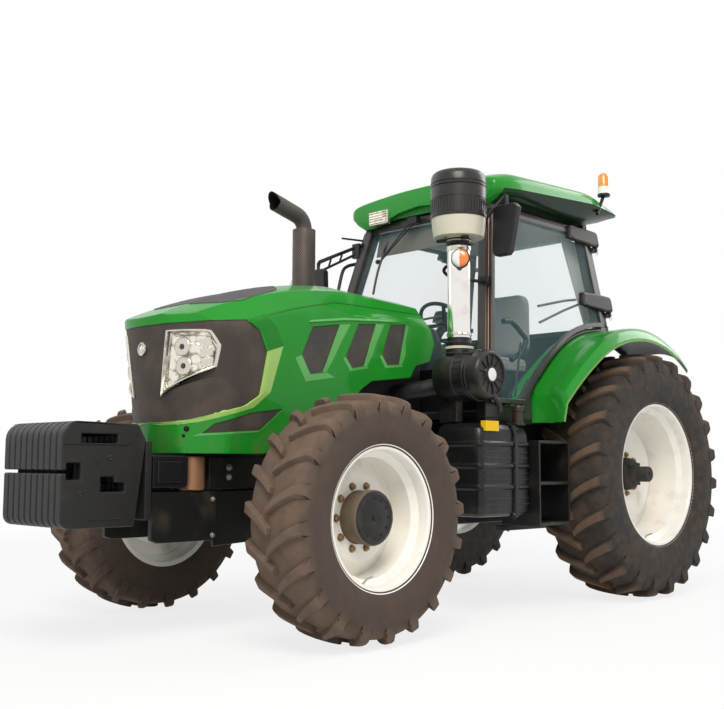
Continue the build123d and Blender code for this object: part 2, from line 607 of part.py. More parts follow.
def door_frame():
    """Left door's frame ring, its two covered hinge arms and the latch handle."""
    ring = door_slab(0, DOOR_GAP, DOOR_GAP + DOOR_T) - door_slab(DOOR_BAR, 0, DOOR_GAP + DOOR_T + 5)
    for z in HINGE_HEIGHTS:
        axis_y = c_y(z) + HINGE_BACK
        cover = outline((axis_y - HINGE_REACH, z - 40), (axis_y - HINGE_REACH + 30, z + 55),
                        (axis_y - 30, z + 55), (axis_y, z + 40), (axis_y, z - 50), (axis_y - 110, z - 55))
        cover = side_prism(cover, 300, 1100) & side_slab(DOOR_GAP + 2, DOOR_GAP + DOOR_T + 22)
        ring += cover + rod(hinge_point(z - 56), hinge_point(z + 50), HINGE_EYE_R)
        ring -= rod(hinge_point(z - 120), hinge_point(z + 100), HINGE_PIN_R + RUNNING_FIT)
    return ring


def door_glass():
    """Left door's pane, held in the middle of its frame."""
    middle = DOOR_GAP + DOOR_T / 2
    return door_slab(DOOR_BAR, middle - GLASS_T / 2, middle + GLASS_T / 2) - door_frame()


def screen(line_y, z0, z1, shift):
    """Flat pane between two posts, parallel to them."""
    slab = side_prism(outline((line_y(z0) + shift, z0), (line_y(z0) + shift + GLASS_T, z0),
                              (line_y(z1) + shift + GLASS_T, z1), (line_y(z1) + shift, z1)), -900, 900)
    low, high = cab_x(z0) - POST, cab_x(z1) - POST
    return slab & cross_prism(outline((-low, z0), (low, z0), (high, z1), (-high, z1)), 900, 3400)


def cab_body():
    """Floor pan, tank platforms, front wall, tub walls beside the wheels and rear wall."""
    wall = TUB_WALL
    back = c_y(FENDER_TOP_Z) + C_DEPTH / 2
    half, side = TANK_IN_X - 10, cab_x(SILL_Z)
    floor = outline((-half, FRONT_WALL_Y), (half, FRONT_WALL_Y), (half, 1600), (TUB_HALF, 1600),
                    (TUB_HALF, back), (-TUB_HALF, back), (-TUB_HALF, 1600), (-half, 1600))
    tub = plan_prism(floor, FLOOR_Z - wall, FLOOR_Z)
    front = a_y(SILL_Z) - A_DEPTH / 2
    platform = block(half - wall, side, front, FENDER_FOOT[0] - 4, SILL_Z - wall, SILL_Z)
    riser = block(half - wall, half, FRONT_WALL_Y, FENDER_FOOT[0] - 4, FLOOR_Z - wall, SILL_Z)
    fender_wall = side_prism(fender_face(-FENDER_T - 1), TUB_HALF - wall, TUB_HALF)
    fender_wall &= block(0, 900, 1600, back, FLOOR_Z - wall, 2200)
    tub += both_sides(platform + riser + fender_wall)
    tub += block(-half, half, FRONT_WALL_Y, FRONT_WALL_Y + wall, FLOOR_Z - wall, SILL_Z)
    tub += block(-660, 660, FRONT_WALL_Y, FRONT_WALL_Y + wall, SILL_Z, SCREEN_Z)
    tub += block(-TUB_HALF, TUB_HALF, back - wall, back, FLOOR_Z - wall, FENDER_TOP_Z)
    gearbox_half, top = GEARBOX[0], GEARBOX[4]
    return tub + block(-gearbox_half, gearbox_half, 1500, 2400, top, FLOOR_Z - wall)


# roof sections from front to back: y, then half width and height of the lower edge, of the sharp
# widest edge, of the shoulder and of the crown
ROOF_SECTIONS = ((1540, 540, 2648, 668, 2765, 632, 2835, 250, 2872),
                 (1690, 572, CAB_TOP_Z, 722, 2776, 650, 2895, 300, 2930),
                 (2680, 572, CAB_TOP_Z, 735, 2842, 655, 2942, 350, 2972),
                 (3060, 540, 2806, 700, 2824, 620, 2868, 330, 2890))


def roof():
    """Moulded roof: crowned top, sharp widest edge, undercut sides, arched front fascia."""
    faces = []
    for y, low, low_z, edge, edge_z, shoulder, shoulder_z, crown, crown_z in ROOF_SECTIONS:
        half = [(low, low_z), (edge, edge_z), (shoulder, shoulder_z), (crown, crown_z)]
        other = [(-x, z) for x, z in reversed(half)]
        faces.append(Plane.XZ.offset(-y) * outline(*half, *other))
    form = loft(faces, ruled=True)
    front_y, head = a_y(CAB_TOP_Z - 60) - A_DEPTH / 2, cab_x(CAB_TOP_Z - 60) + DOOR_GAP + DOOR_T + 10
    form -= block(-head, head, front_y - 6, 2600, 2400, CAB_TOP_Z)
    arch = make_face([ThreePointArc((-470, 2640), (0, 2752), (470, 2640)), Line((470, 2640), (-470, 2640))])
    form -= cross_prism(arch, 1400, front_y)
    rear = c_y(CAB_TOP_Z) + C_DEPTH / 2 + 4
    form += block(-520, 520, rear, rear + 70, 2648, 2790)
    for piece in work_lamps() + [beacon_stem()]:
        form -= piece
    return form


# ---------------------------------------------------------------- fenders, tank, steps
def on_arc(centre, radius, degrees):
    """Point of an arc in (Y, Z) at an angle forward of the vertical."""
    turn = math.radians(degrees)
    return centre[0] - radius * math.sin(turn), centre[1] + radius * math.cos(turn)


def arc_between(centre, radius, start, end):
    """Arc in (Y, Z) between two angles forward of the vertical."""
    return ThreePointArc(*(on_arc(centre, radius, turn) for turn in (start, (start + end) / 2, end)))


def fender_face(grow):
    """Side view of everything under the fender's top, grown outward by a distance."""
    axle = (WHEELBASE, REAR_TYRE_R)
    front = (WHEELBASE, FENDER_TOP_Z - FENDER_FRONT_R)
    turn, end = FENDER_TURNS
    flank = on_arc(front, FENDER_FRONT_R - FENDER_FLANK_R, turn)
    tail = -math.degrees(math.asin((FENDER_BACK_Y + 200 - WHEELBASE) / FENDER_R))
    knee = on_arc(flank, FENDER_FLANK_R + grow, end)
    tip = on_arc(axle, FENDER_R + grow, tail)
    foot = (FENDER_FOOT[0] - grow, FENDER_FOOT[1])
    return make_face([
        arc_between(flank, FENDER_FLANK_R + grow, end, turn),
        arc_between(front, FENDER_FRONT_R + grow, turn, 0),
        arc_between(axle, FENDER_R + grow, 0, tail), Line(tip, (tip[0], 700)),
        Line((tip[0], 700), (foot[0], 700)), Line((foot[0], 700), foot), Line(foot, knee)])


def fender_form(grow):
    """Solid under the left fender's skin: level out to the shoulder, then falling to its edge."""
    section = Plane.YZ.offset(TUB_HALF) * fender_face(grow)
    x, form = TUB_HALF, None
    for break_x, forward, drop in FENDER_BREAKS:
        step = Vector(break_x - x, -forward, -drop)
        piece = extrude(section, step.length, dir=step)
        form = piece if form is None else form + piece
        section, x = Pos(*step) * section, break_x
    return form


def fender():
    """Left fender: skin over the tyre, falling shoulder, and the wall beside the cab."""
    skin = fender_form(0) - fender_form(-FENDER_T)
    wall = side_prism(fender_face(0) - fender_face(-60), TUB_HALF, TUB_HALF + FENDER_T)
    reach = block(TUB_HALF, 1200, 1000, FENDER_BACK_Y, FENDER_FOOT[1], 2200)
    return (skin + wall) & reach


TANK_IN_X, TANK_OUT_X = 570, 950
TANK_FRONT_Y, TANK_BACK_Y = 1020, 1550


def fuel_tank():
    """Left tank with rounded edges, pressed ridges and a filler neck."""
    top = SILL_Z - TUB_WALL - 5
    tank = block(TANK_IN_X, TANK_OUT_X, TANK_FRONT_Y, TANK_BACK_Y, 610, top)
    tank = fillet(tank.edges().filter_by(Axis.Y), 30)
    neck = rod((885, TANK_BACK_Y - 60, top - 5), (885, TANK_BACK_Y - 60, DOOR_LOW_Z - 12), 38)
    return tank + neck


def battery_box():
    """Right-hand battery and tool box."""
    box = block(-TANK_OUT_X, -TANK_IN_X, TANK_FRONT_Y, TANK_BACK_Y, 640, SILL_Z - TUB_WALL - 5)
    return fillet(box.edges().filter_by(Axis.Y), 30)


def steps():
    """Left and right ladders hung from the cab floor."""
    ladder = block(TANK_OUT_X - 260, TANK_OUT_X + 40, 1560, 1575, 540, FLOOR_Z - CAST)
    ladder += block(TANK_OUT_X - 260, TANK_OUT_X + 40, 1885, 1900, 540, FLOOR_Z - CAST)
    for z in (545, 800, FLOOR_Z - CAST - 20):
        ladder += block(TANK_OUT_X - 260, TANK_OUT_X + 40, 1560, 1900, z, z + 20)
    ladder += block(TANK_IN_X, TANK_OUT_X - 240, 1560, 1900, FLOOR_Z - CAST - 20, FLOOR_Z - CAST)
    return [ladder, mirror(ladder, about=Plane.YZ)]


# ---------------------------------------------------------------- air intake, exhaust
INTAKE_X, INTAKE_Y = 700, 1132
AIR_Z = 1470
CANISTER_R = 160
BOWL_Z = 2295               # lower end of the pre-cleaner's bowl, on the pipe


def air_cleaner():
    """Cleaner canister lying across the tractor, with its elbow and bracket."""
    can = rod((585, INTAKE_Y, AIR_Z), (962, INTAKE_Y, AIR_Z), CANISTER_R)
    can = fillet(can.edges().filter_by(GeomType.CIRCLE), 16)
    can += rod((INTAKE_X, INTAKE_Y, AIR_Z + 120), (INTAKE_X, INTAKE_Y, AIR_Z + 230), 84)
    foot = block(600, 650, INTAKE_Y + CANISTER_R - 20, FRONT_WALL_Y, AIR_Z - 40, AIR_Z + 40)
    hose = rod((ENGINE[0] - 40, 1000, 1370), (600, INTAKE_Y, AIR_Z - 60), 55)
    return can + foot + (hose - block(0, ENGINE[0], 800, 1200, 1200, 1600))


def intake_pipe():
    """Bright pipe up to the pre-cleaner."""
    return rod((INTAKE_X, INTAKE_Y, AIR_Z + 230), (INTAKE_X, INTAKE_Y, BOWL_Z), 72, 68)


def precleaner():
    """Spinning-vane pre-cleaner bowl with its black lid."""
    face = outline((0, BOWL_Z), (80, BOWL_Z), (92, BOWL_Z + 45), (148, BOWL_Z + 110), (160, BOWL_Z + 175),
                   (167, BOWL_Z + 180), (167, BOWL_Z + 450), (155, BOWL_Z + 470), (0, BOWL_Z + 475))
    body = revolve(Plane.XZ * face, Axis.Z)
    return Pos(INTAKE_X, INTAKE_Y, 0) * body


def exhaust_stack():
    """Right-hand exhaust: outlet from the engine, silencer in its guard and the turned tip."""
    x, y = -HOOD_HALF - 100, 900
    guard_top = 2545
    half = ENGINE[0]
    stack = rod((-half, y, 1300), (x, y, 1300), 48) + rod((x, y, 1252), (x, y, 1600), 48)
    stack += rod((x, y, 1560), (x, y, guard_top), 80)
    bend = 100
    turn = math.radians(75)
    lean = Vector(0, -math.sin(turn), math.cos(turn))
    start = Vector(x, y, guard_top - 10)
    rise = start + Vector(0, 0, 15)
    corner = rise + Vector(0, -bend * (1 - math.cos(turn)), bend * math.sin(turn))
    middle = rise + Vector(0, -bend * (1 - math.cos(turn / 2)), bend * math.sin(turn / 2))
    path = Line(start, rise) + ThreePointArc(rise, middle, corner) + Line(corner, corner + lean * 280)
    tip = sweep(Plane(origin=start, z_dir=(0, 0, 1)) * Circle(56), path=path)
    return stack + (tip - block(x - 100, x + 100, y - 800, y - 325, 2300, 3200))


# ---------------------------------------------------------------- cab fittings
# mirrors: side (+1 left), then x, y, z of the arm's outer end
MIRROR_ARMS = ((1, 975, 1265, 2600), (-1, 930, 1437, 2457))


def mirrors():
    """Left and right mirrors hung from arms on the front posts."""
    pair = []
    for side, x, y, z in MIRROR_ARMS:
        root_z = 2560
        arm = rod((cab_x(root_z) - 20, a_y(root_z) - 46, root_z), (x, y, z), 13)
        arm += rod((x, y, z), (x, y, z - 80), 13)
        arm -= leaning_post(a_y, SILL_Z, CAB_TOP_Z, A_DEPTH)
        top, low = z - 60, z - 380
        head = cross_prism(outline((x - 85, top - 20), (x - 65, top), (x + 75, top), (x + 100, top - 25),
                                   (x + 40, low + 20), (x + 20, low), (x - 70, low), (x - 95, low + 25)),
                           y - 28, y + 28)
        mirror_body = arm + fillet(head.edges().filter_by(Axis.Y), 12)
        pair.append(mirror_body if side > 0 else mirror(mirror_body, about=Plane.YZ))
    return pair


BEACON_X, BEACON_Y, BEACON_Z = 712, 2840, 2945


def beacon_stem():
    """Slanted mounting tube of the beacon, standing in the roof's edge."""
    return rod((BEACON_X, BEACON_Y - 100, BEACON_Z - 160), (BEACON_X, BEACON_Y, BEACON_Z + 8), 14)


def work_lamps():
    """Two lamps in the roof's front fascia and two under its tail."""
    pieces = []
    for side in (1, -1):
        for y0, y1, x, half, z0, z1 in ((1505, 1560, 470, 92, 2698, 2802), (2844, 2910, 430, 75, 2655, 2745)):
            pieces.append(block(side * x - half, side * x + half, y0, y1, z0, z1))
    return pieces


def roof_lamps():
    """Work lamps and the flashing beacon on the roof's left rear corner."""
    beacon = rod((BEACON_X, BEACON_Y, BEACON_Z), (BEACON_X, BEACON_Y, BEACON_Z + 65), 48)
    dome = rod((BEACON_X, BEACON_Y, BEACON_Z + 65), (BEACON_X, BEACON_Y, BEACON_Z + 170), 44)
    beacon += fillet(dome.edges().filter_by(GeomType.CIRCLE).sort_by(Axis.Z)[-1], 36)
    return work_lamps() + [beacon_stem() + beacon]


def seat():
    """Seat cushion, backrest and armrests as plain closed solids."""
    cushion = block(-250, 250, 2080, 2560, 1600, 1720)
    return cushion + block(-240, 240, 2530, 2640, 1600, 2330)


def seat_base():
    """Sprung seat pedestal."""
    return block(-180, 180, 2140, 2520, FLOOR_Z, 1600)


def steering_column():
    """Dash console with the tilted column."""
    front = FRONT_WALL_Y + TUB_WALL
    dash = side_prism(outline((front, FLOOR_Z), (1560, FLOOR_Z), (1640, 1650), (1500, 1850),
                              (front + 60, 1850), (front, SCREEN_Z - 20)), -190, 190)
    return dash + rod(COLUMN_LOW, COLUMN_TOP, 32)


COLUMN_LOW = (0, 1560, 1640)
COLUMN_TOP = (0, 1800, 1905)


def steering_wheel():
    """Rim, hub and three spokes, square to the column."""
    axis = Vector(*COLUMN_TOP) - Vector(*COLUMN_LOW)
    frame = Plane(origin=COLUMN_TOP, z_dir=axis)
    hub = extrude(frame.offset(2) * Circle(45), 40)
    rim = frame.offset(40) * Torus(195, 14)
    wheel = hub + rim
    for turn in (90, 210, 330):
        spoke = Rot(0, 0, turn) * Pos(112, 0, 30) * Box(170, 26, 12)
        wheel += frame * spoke
    return wheel


# ---------------------------------------------------------------- rear linkage
def turned(shape, y, z, degrees):
    """A shape turned about the line along X through (y, z); positive lifts its rear end."""
    return Pos(0, y, z) * Rot(degrees, 0, 0) * Pos(0, -y, -z) * shape


def lift_arms():
    """Rockshaft with its two lift arms."""
    shaft = rod((-330, LIFT_Y, LIFT_Z), (330, LIFT_Y, LIFT_Z), 32)
    end_y = LIFT_Y + LIFT_RADIUS
    arm = side_prism(outline((LIFT_Y - 45, LIFT_Z - 45), (LIFT_Y - 45, LIFT_Z + 45),
                             (end_y - 20, LIFT_Z + 30), (end_y + 30, LIFT_Z + 18),
                             (end_y + 30, LIFT_Z - 18), (end_y - 20, LIFT_Z - 30)), 300, 330)
    pin = rod((330, end_y, LIFT_Z), (395, end_y, LIFT_Z), 14)
    return turned(shaft + both_sides(arm + pin), LIFT_Y, LIFT_Z, -LINK_DROP)


def link_point(base_y, base_z, distance):
    """Point along a linkage bar as parked."""
    drop = math.radians(LINK_DROP)
    return base_y + distance * math.cos(drop), base_z - distance * math.sin(drop)


def lower_links():
    """Two draft links with ball ends, pivoted on the case's pins."""
    x0, x1 = 282, 322
    y, z = LINK_Y, LINK_Z
    bar = side_prism(outline((y - 40, z - 40), (y - 40, z + 40), (y + 40, z + 40),
                             (y + LINK_LENGTH - 10, z + 32), (y + LINK_LENGTH - 10, z - 32),
                             (y + 40, z - 40)), x0, x1)
    bar -= rod((x0 - 5, y, z), (x1 + 5, y, z), 18 + RUNNING_FIT)
    ball_x = (x0 + x1) / 2
    end_y = y + LINK_LENGTH
    bar += rod((ball_x - BALL_WIDTH / 2, end_y, z), (ball_x + BALL_WIDTH / 2, end_y, z), BALL_R)
    bar -= rod((x0 - 20, y + LINK_LENGTH, z), (x1 + 20, y + LINK_LENGTH, z), BALL_BORE_R)
    bar += rod((x1 - 5, y + LIFT_RADIUS, z), (395, y + LIFT_RADIUS, z), 14)
    return turned(both_sides(bar), LINK_Y, LINK_Z, -LINK_DROP)


def lift_rods():
    """Two lift rods between the lift arms and the lower links."""
    top = link_point(LIFT_Y, LIFT_Z, LIFT_RADIUS)
    low = link_point(LINK_Y, LINK_Z, LIFT_RADIUS)
    x = 372
    bar = rod((x, *top), (x, *low), 17)
    for y, z in (top, low):
        bar += rod((x - 20, y, z), (x + 20, y, z), 32)
    for y, z in (top, low):
        bar -= rod((x - 30, y, z), (x + 30, y, z), 14 + RUNNING_FIT)
    return both_sides(bar)


def drawbar():
    """Swinging drawbar under the rear case, with its pin hole."""
    bar = block(-40, 40, 2450, 3560, 432, 470)
    bar += block(-120, 120, 2600, 2680, 470, 520) + block(-120, 120, 2930, 2990, 470, 520)
    return bar - rod((0, 3500, 400), (0, 3500, 500), DRAWBAR_PIN_R)


# ---------------------------------------------------------------- build
def build():
    os.makedirs("parts", exist_ok=True)
    for name, side in (("left", 1), ("right", -1)):
        write("tyre_front_" + name, tyre(FRONT_TYRE_R, FRONT_TYRE_W, FRONT_BEAD_R, FRONT_RIM_W,
                                         FRONT_WHEEL_X, 0), side)
        write("rim_front_" + name, front_rim(), side)
        write("hub_front_" + name, front_hub(), side)
        write("tyre_rear_" + name, tyre(REAR_TYRE_R, REAR_TYRE_W, REAR_BEAD_R, REAR_RIM_W,
                                        REAR_WHEEL_X, WHEELBASE), side)
        write("rim_rear_" + name, rear_rim(), side)
        write("hub_rear_" + name, rear_hub(), side)
        write("knuckle_" + name, knuckle(side))
        write("door_" + name, door_frame(), side)
        write("door_glass_" + name, door_glass(), side)
    top, side_panel, mesh, headlights = hood_parts()
    write("hood_top", top)
    write("hood_side_left", side_panel)
    write("hood_side_right", side_panel, -1)
    write("hood_mesh", mesh)
    write("headlights", headlights)
    for node, shape in (
            ("front_axle_beam", front_axle_beam()), ("tie_rod", tie_rod()),
            ("steering_cylinder", steering_cylinder()), ("steering_rod", steering_rod()),
            ("front_support", front_support()), ("engine_block", engine_block()),
            ("transmission_housing", transmission_housing()),
            ("rear_axle_housing", rear_axle_housing()), ("front_drive_shaft", front_drive_shaft()),
            ("front_weights", front_weights()), ("weight_bracket", weight_bracket()),
            ("cab_frame", cab_frame()), ("cab_body", cab_body()), ("roof", roof()),
            ("cab_windows", [screen(a_y, SCREEN_Z, CAB_TOP_Z - 60, -10),
                             screen(c_y, FENDER_TOP_Z + 50, CAB_TOP_Z - 60, 20)]),
            ("rear_fenders", both_sides(fender())),
            ("fuel_tank", fuel_tank()), ("battery_box", battery_box()), ("steps", steps()),
            ("air_cleaner", air_cleaner()), ("intake_pipe", intake_pipe()),
            ("precleaner", precleaner()), ("exhaust_stack", exhaust_stack()),
            ("mirrors", mirrors()), ("roof_lamps", roof_lamps()),
            ("seat", seat()), ("seat_base", seat_base()), ("steering_column", steering_column()),
            ("steering_wheel", steering_wheel()), ("lower_links", lower_links()),
            ("lift_arms", lift_arms()), ("lift_rods", lift_rods()), ("drawbar", drawbar())):
        write(node, shape)


build()
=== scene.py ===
# %% [markdown]
# # Dressing a farm tractor
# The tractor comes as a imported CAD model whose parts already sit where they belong. Everything here is
# built around that frame, in metres: X is the tractor's left, -Y is forward and Z is up. Sizes are taken
# from the frame's own boxes, and places are counted from the front axle's line on the ground, because that
# is the point a tractor's drawing is dimensioned from.

# %% Load the frame
import json
import math

import bmesh
import bpy
import numpy as np
from mathutils import Matrix, Vector
from mathutils.bvhtree import BVHTree
from mathutils.geometry import tessellate_polygon


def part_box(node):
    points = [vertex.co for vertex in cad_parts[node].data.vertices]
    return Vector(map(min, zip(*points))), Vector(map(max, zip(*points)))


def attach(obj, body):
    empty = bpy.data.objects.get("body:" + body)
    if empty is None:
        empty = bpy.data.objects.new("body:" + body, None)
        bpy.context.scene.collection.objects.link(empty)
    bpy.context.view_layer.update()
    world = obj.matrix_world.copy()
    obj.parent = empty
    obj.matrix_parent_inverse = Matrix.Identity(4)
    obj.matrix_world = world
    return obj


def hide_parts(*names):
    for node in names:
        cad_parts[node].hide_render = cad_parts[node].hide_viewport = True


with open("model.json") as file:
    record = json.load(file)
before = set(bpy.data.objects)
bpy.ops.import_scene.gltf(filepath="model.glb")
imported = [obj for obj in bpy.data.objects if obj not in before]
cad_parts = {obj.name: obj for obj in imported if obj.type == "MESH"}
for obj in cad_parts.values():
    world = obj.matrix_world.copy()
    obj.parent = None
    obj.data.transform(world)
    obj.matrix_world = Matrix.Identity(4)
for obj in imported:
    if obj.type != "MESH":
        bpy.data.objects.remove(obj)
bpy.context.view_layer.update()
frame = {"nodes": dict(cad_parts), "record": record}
record = frame["record"]
body_of = {node: body for body, nodes in record["behaviour"]["bodies"].items() for node in nodes}
slot_of = {part["node"]: part["material_slot"] for part in record["subparts"]}


def middle(node):
    """Centre of a CAD node's box."""
    low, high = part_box(node)
    return (low + high) / 2


FRONT_LINE = middle("tyre_front_left").y
REAR_LINE = middle("tyre_rear_left").y


def at(x, y, z):
    """A place counted from the ground under the front axle."""
    return Vector((x, y + FRONT_LINE, z))


print("front axle at", round(FRONT_LINE, 4), "rear axle at", round(REAR_LINE, 4))

# %% [markdown]
# ## Camera
# The camera stands low and in front of the tractor's left front wheel, a little over its bonnet's height,
# so that the whole side and the nose are seen together. A 52 mm lens keeps the wheels nearly round. The
# camera comes first, because every later choice is judged through it.

# %% Place the camera
YAW, PITCH, ROLL = (math.radians(a) for a in (44.71808, 5.97674, 0.21214))
VIEW_WIDTH = math.radians(38.4775)
STAND = at(4.80243, -3.87498, 0.93239)

forward = Vector((-math.sin(YAW) * math.cos(PITCH), math.cos(YAW) * math.cos(PITCH), math.sin(PITCH)))
level = Vector((math.cos(YAW), math.sin(YAW), 0))
upright = level.cross(forward)
right = level * math.cos(ROLL) + upright * math.sin(ROLL)
over = upright * math.cos(ROLL) - level * math.sin(ROLL)

lens = bpy.data.cameras.new("view")
lens.sensor_width = 36
lens.lens = lens.sensor_width / 2 / math.tan(VIEW_WIDTH / 2)
lens.clip_end = 200
camera = bpy.data.objects.new("view", lens)
turn = Matrix((right, over, -forward)).transposed()
camera.matrix_world = Matrix.Translation(STAND) @ turn.to_4x4()
bpy.context.scene.collection.objects.link(camera)
bpy.context.scene.camera = camera
print("lens", round(lens.lens, 2), "mm")

# %% [markdown]
# ## Finishes as arithmetic
# A shader is a sum: noise times a weight plus a base. Wiring that by hand hides the idea, so a small class
# wraps a node's output and lets Python's own operators make the Math nodes. Every other node comes from one
# method that sets the node up first and then feeds its sockets.


# %% A socket that can be used in a sum
class Socket:
    """An output of a node; arithmetic on it adds Math nodes."""

    def __init__(self, nodes, link):
        self.nodes, self.link = nodes, link

    def math(self, operation, first, second=0.0):
        return self.nodes.node("Math", {"operation": operation}, {0: first, 1: second})

    def __add__(self, other):
        return self.math("ADD", self, other)

    def __mul__(self, other):
        return self.math("MULTIPLY", self, other)

    def __sub__(self, other):
        return self.math("SUBTRACT", self, other)

    def __rsub__(self, other):
        return self.math("SUBTRACT", other, self)

    def sine(self):
        return self.math("SINE", self)

    __radd__, __rmul__ = __add__, __mul__


print("sums of sockets are ready")


# %% The one way to add a node
class Nodes:
    """A node tree, and the one way to add a node to it."""

    def __init__(self, tree):
        self.tree = tree

    def feed(self, socket, value):
        if isinstance(value, Socket):
            self.tree.links.new(socket, value.link)
        elif socket.type == "RGBA":
            socket.default_value = (*value, 1)
        else:
            socket.default_value = value

    def node(self, kind, settings, sockets, out=0):
        """Any node: its settings first, then the values or links of its sockets."""
        made = self.tree.nodes.new("ShaderNode" + kind)
        for key, value in settings.items():
            if key == "stops":
                steps = made.color_ramp.elements
                for number, (stop, colour) in enumerate(value):
                    element = steps[number] if number < 2 else steps.new(stop)
                    element.position, element.color = stop, (*colour, 1)
            else:
                setattr(made, key, value)
        for key, value in sockets.items():
            self.feed(made.inputs[key], value)
        return Socket(self, made.outputs[out])


print("nodes are ready")


# %% A finish and what varies it
class Finish(Nodes):
    """One material, with its Principled shader and the helpers that vary it."""

    def __init__(self, name, colour, rough, metal=0.0, **fixed):
        self.material = bpy.data.materials.new(name)
        self.material.use_nodes = True
        super().__init__(self.material.node_tree)
        self.shader = self.tree.nodes["Principled BSDF"]
        self.colour = colour
        self.set("Base Color", colour)
        self.set("Roughness", rough)
        self.set("Metallic", metal)
        for key, value in fixed.items():
            self.set(key.replace("_", " "), value)
        self.place = self.node("TexCoord", {}, {}, "Object")

    def set(self, socket, value):
        self.feed(self.shader.inputs[socket], value)
        return self

    def noise(self, scale, detail=3.0):
        return self.node("TexNoise", {}, {"Vector": self.place, "Scale": scale, "Detail": detail})

    def step(self, value, low, high):
        """0 below low, 1 above high, smooth between."""
        return self.node("MapRange", {"interpolation_type": "SMOOTHSTEP"},
                         {"Value": value, "From Min": low, "From Max": high})

    def mix(self, share, low, high):
        return self.node("Mix", {"data_type": "RGBA"}, {0: share, 6: low, 7: high}, 2)

    def axis(self, letter, where=None):
        return self.node("SeparateXYZ", {}, {0: where or self.place}, "XYZ".index(letter))

    def bump(self, height, strength, distance=0.001):
        return self.set("Normal", self.node("Bump", {}, {"Strength": strength, "Distance": distance,
                                                         "Height": height}))

    def stain_and_reflection(self, colour, scale, low, high, share=1.0):
        """Patches of another colour over the base, from noise."""
        patch = self.step(self.noise(scale, 5.0), low, high) * share
        return self.set("Base Color", self.mix(patch, self.colour, colour))


print("finishes are ready")

# %% [markdown]
# ## Paint, rubber and castings
# Green enamel is a coloured base under a clear coat, so it reflects the sky at a grazing angle while its
# body stays green. Its colour wanders a little, as sprayed paint does, and field dust settles low on the
# panels. Castings are painted black over a sandy surface: a fine bump breaks the highlight, and dust
# gathers in patches.

# %% Mix the paints
DUST = (0.17, 0.125, 0.085)


def enamel(name, colour, rough=0.3, dust=0.35):
    """Gloss paint over a panel, a little dusty near the ground."""
    paint = Finish(name, colour, rough, Coat_Weight=0.38, Coat_Roughness=0.08, Specular_IOR_Level=0.1)
    tone = paint.mix(paint.noise(2.6, 2.0), [0.9 * c for c in colour], [min(1.0, 1.12 * c) for c in colour])
    low = (1 - paint.step(paint.axis("Z"), 0.95, 1.35)) * paint.step(paint.noise(9.0, 6.0), 0.42, 0.75) * dust
    paint.set("Base Color", paint.mix(low, tone, DUST))
    paint.set("Roughness", low * 0.5 + paint.noise(40.0) * 0.08 + rough)
    return paint.bump(paint.noise(260.0, 1.0), 0.05, 0.0005)


def casting(name, colour, rough=0.5, dust=0.3, grain=140.0, metal=0.0, coat=0.0):
    """Painted or bare casting with a sandy surface and dust in patches."""
    paint = Finish(name, colour, rough, metal, Coat_Weight=coat * 0.6, Coat_Roughness=0.25,
                   Specular_IOR_Level=0.25)
    patch = paint.step(paint.noise(5.5, 7.0), 0.5, 0.78) * dust
    paint.set("Base Color", paint.mix(patch, colour, DUST))
    paint.set("Roughness", patch * 0.4 + paint.noise(30.0) * 0.15 + rough - 0.07)
    return paint.bump(paint.noise(grain, 4.0), 0.25, 0.0012)


green = enamel("green_enamel", (0.012, 0.250, 0.018))
# Paler green painted on the bonnet's grille chamfer: a painted highlight where the edge catches light.
green_painted_highlight = enamel("green_enamel_painted_highlight", (0.34, 0.54, 0.14), 0.35)
# Softer pale green on the vent chamfers, the brow and the low vent's lip: a painted highlight along those
# edges.
green_soft_highlight = enamel("green_enamel_edge_highlight", (0.12, 0.42, 0.11), 0.35)
# Paler green on the fender's rolled lip: a painted highlight along the edge.
fender_lip = enamel("fender_lip_painted_highlight", (0.16, 0.33, 0.06), 0.4)
black_cast = casting("black_casting", (0.009, 0.0088, 0.0085), 0.42, 0.22, coat=0.3)
weight_cast = casting("weight_casting", (0.014, 0.0135, 0.013), 0.5, 0.14, 90.0, coat=0.2)
grimy_cast = casting("grimy_casting", (0.03, 0.027, 0.024), 0.6, 0.55)
hub_dust = casting("dusty_hub", (0.15, 0.115, 0.08), 0.75, 0.4, 120.0)
post_paint = casting("cab_post_paint", (0.030, 0.027, 0.025), 0.38, 0.1, 200.0, coat=0.5)
hinge_plastic = casting("hinge_cover_plastic", (0.026, 0.022, 0.020), 0.45, 0.15, 300.0)
moulded = casting("moulded_black_plastic", (0.009, 0.009, 0.010), 0.38, 0.1, 320.0, coat=0.2)
tank_plastic = casting("tank_plastic", (0.008, 0.008, 0.009), 0.33, 0.16, 160.0, coat=0.25)
trim_grey = casting("inner_trim", (0.16, 0.16, 0.16), 0.7, 0.05, 250.0)
headliner = casting("headliner", (0.35, 0.35, 0.33), 0.9, 0.0, 500.0)
lid_plastic = casting("lid_plastic", (0.022, 0.020, 0.019), 0.3, 0.1, 220.0, coat=0.4)
bowl_cream = casting("cream_bowl", (0.62, 0.58, 0.46), 0.3, 0.1, 200.0, coat=0.5)
bronze = casting("passivated_nuts", (0.33, 0.22, 0.11), 0.4, 0.2, 200.0, metal=0.75)
zinc = casting("zinc_bolts", (0.42, 0.40, 0.36), 0.35, 0.1, 200.0, metal=0.85)
# Warm brown: rust on the exhaust outlet, painted warm light on the frame's round covers, and a painted
# highlight up the front post.
rust_and_warm_light = casting("rust_and_painted_warm_light", (0.30, 0.15, 0.08), 0.4, 0.2, 60.0, metal=0.3)
rust_grey = casting("exhaust_tip", (0.085, 0.072, 0.068), 0.55, 0.25, 60.0)
pillar_trim = casting("pillar_trim", (0.42, 0.42, 0.40), 0.8, 0.05, 300.0)
sun_strip = casting("sun_strip", (0.17, 0.13, 0.095), 0.7, 0.1, 300.0)
filler_black = casting("filler_neck", (0.030, 0.022, 0.018), 0.22, 0.1, 200.0, coat=0.6)
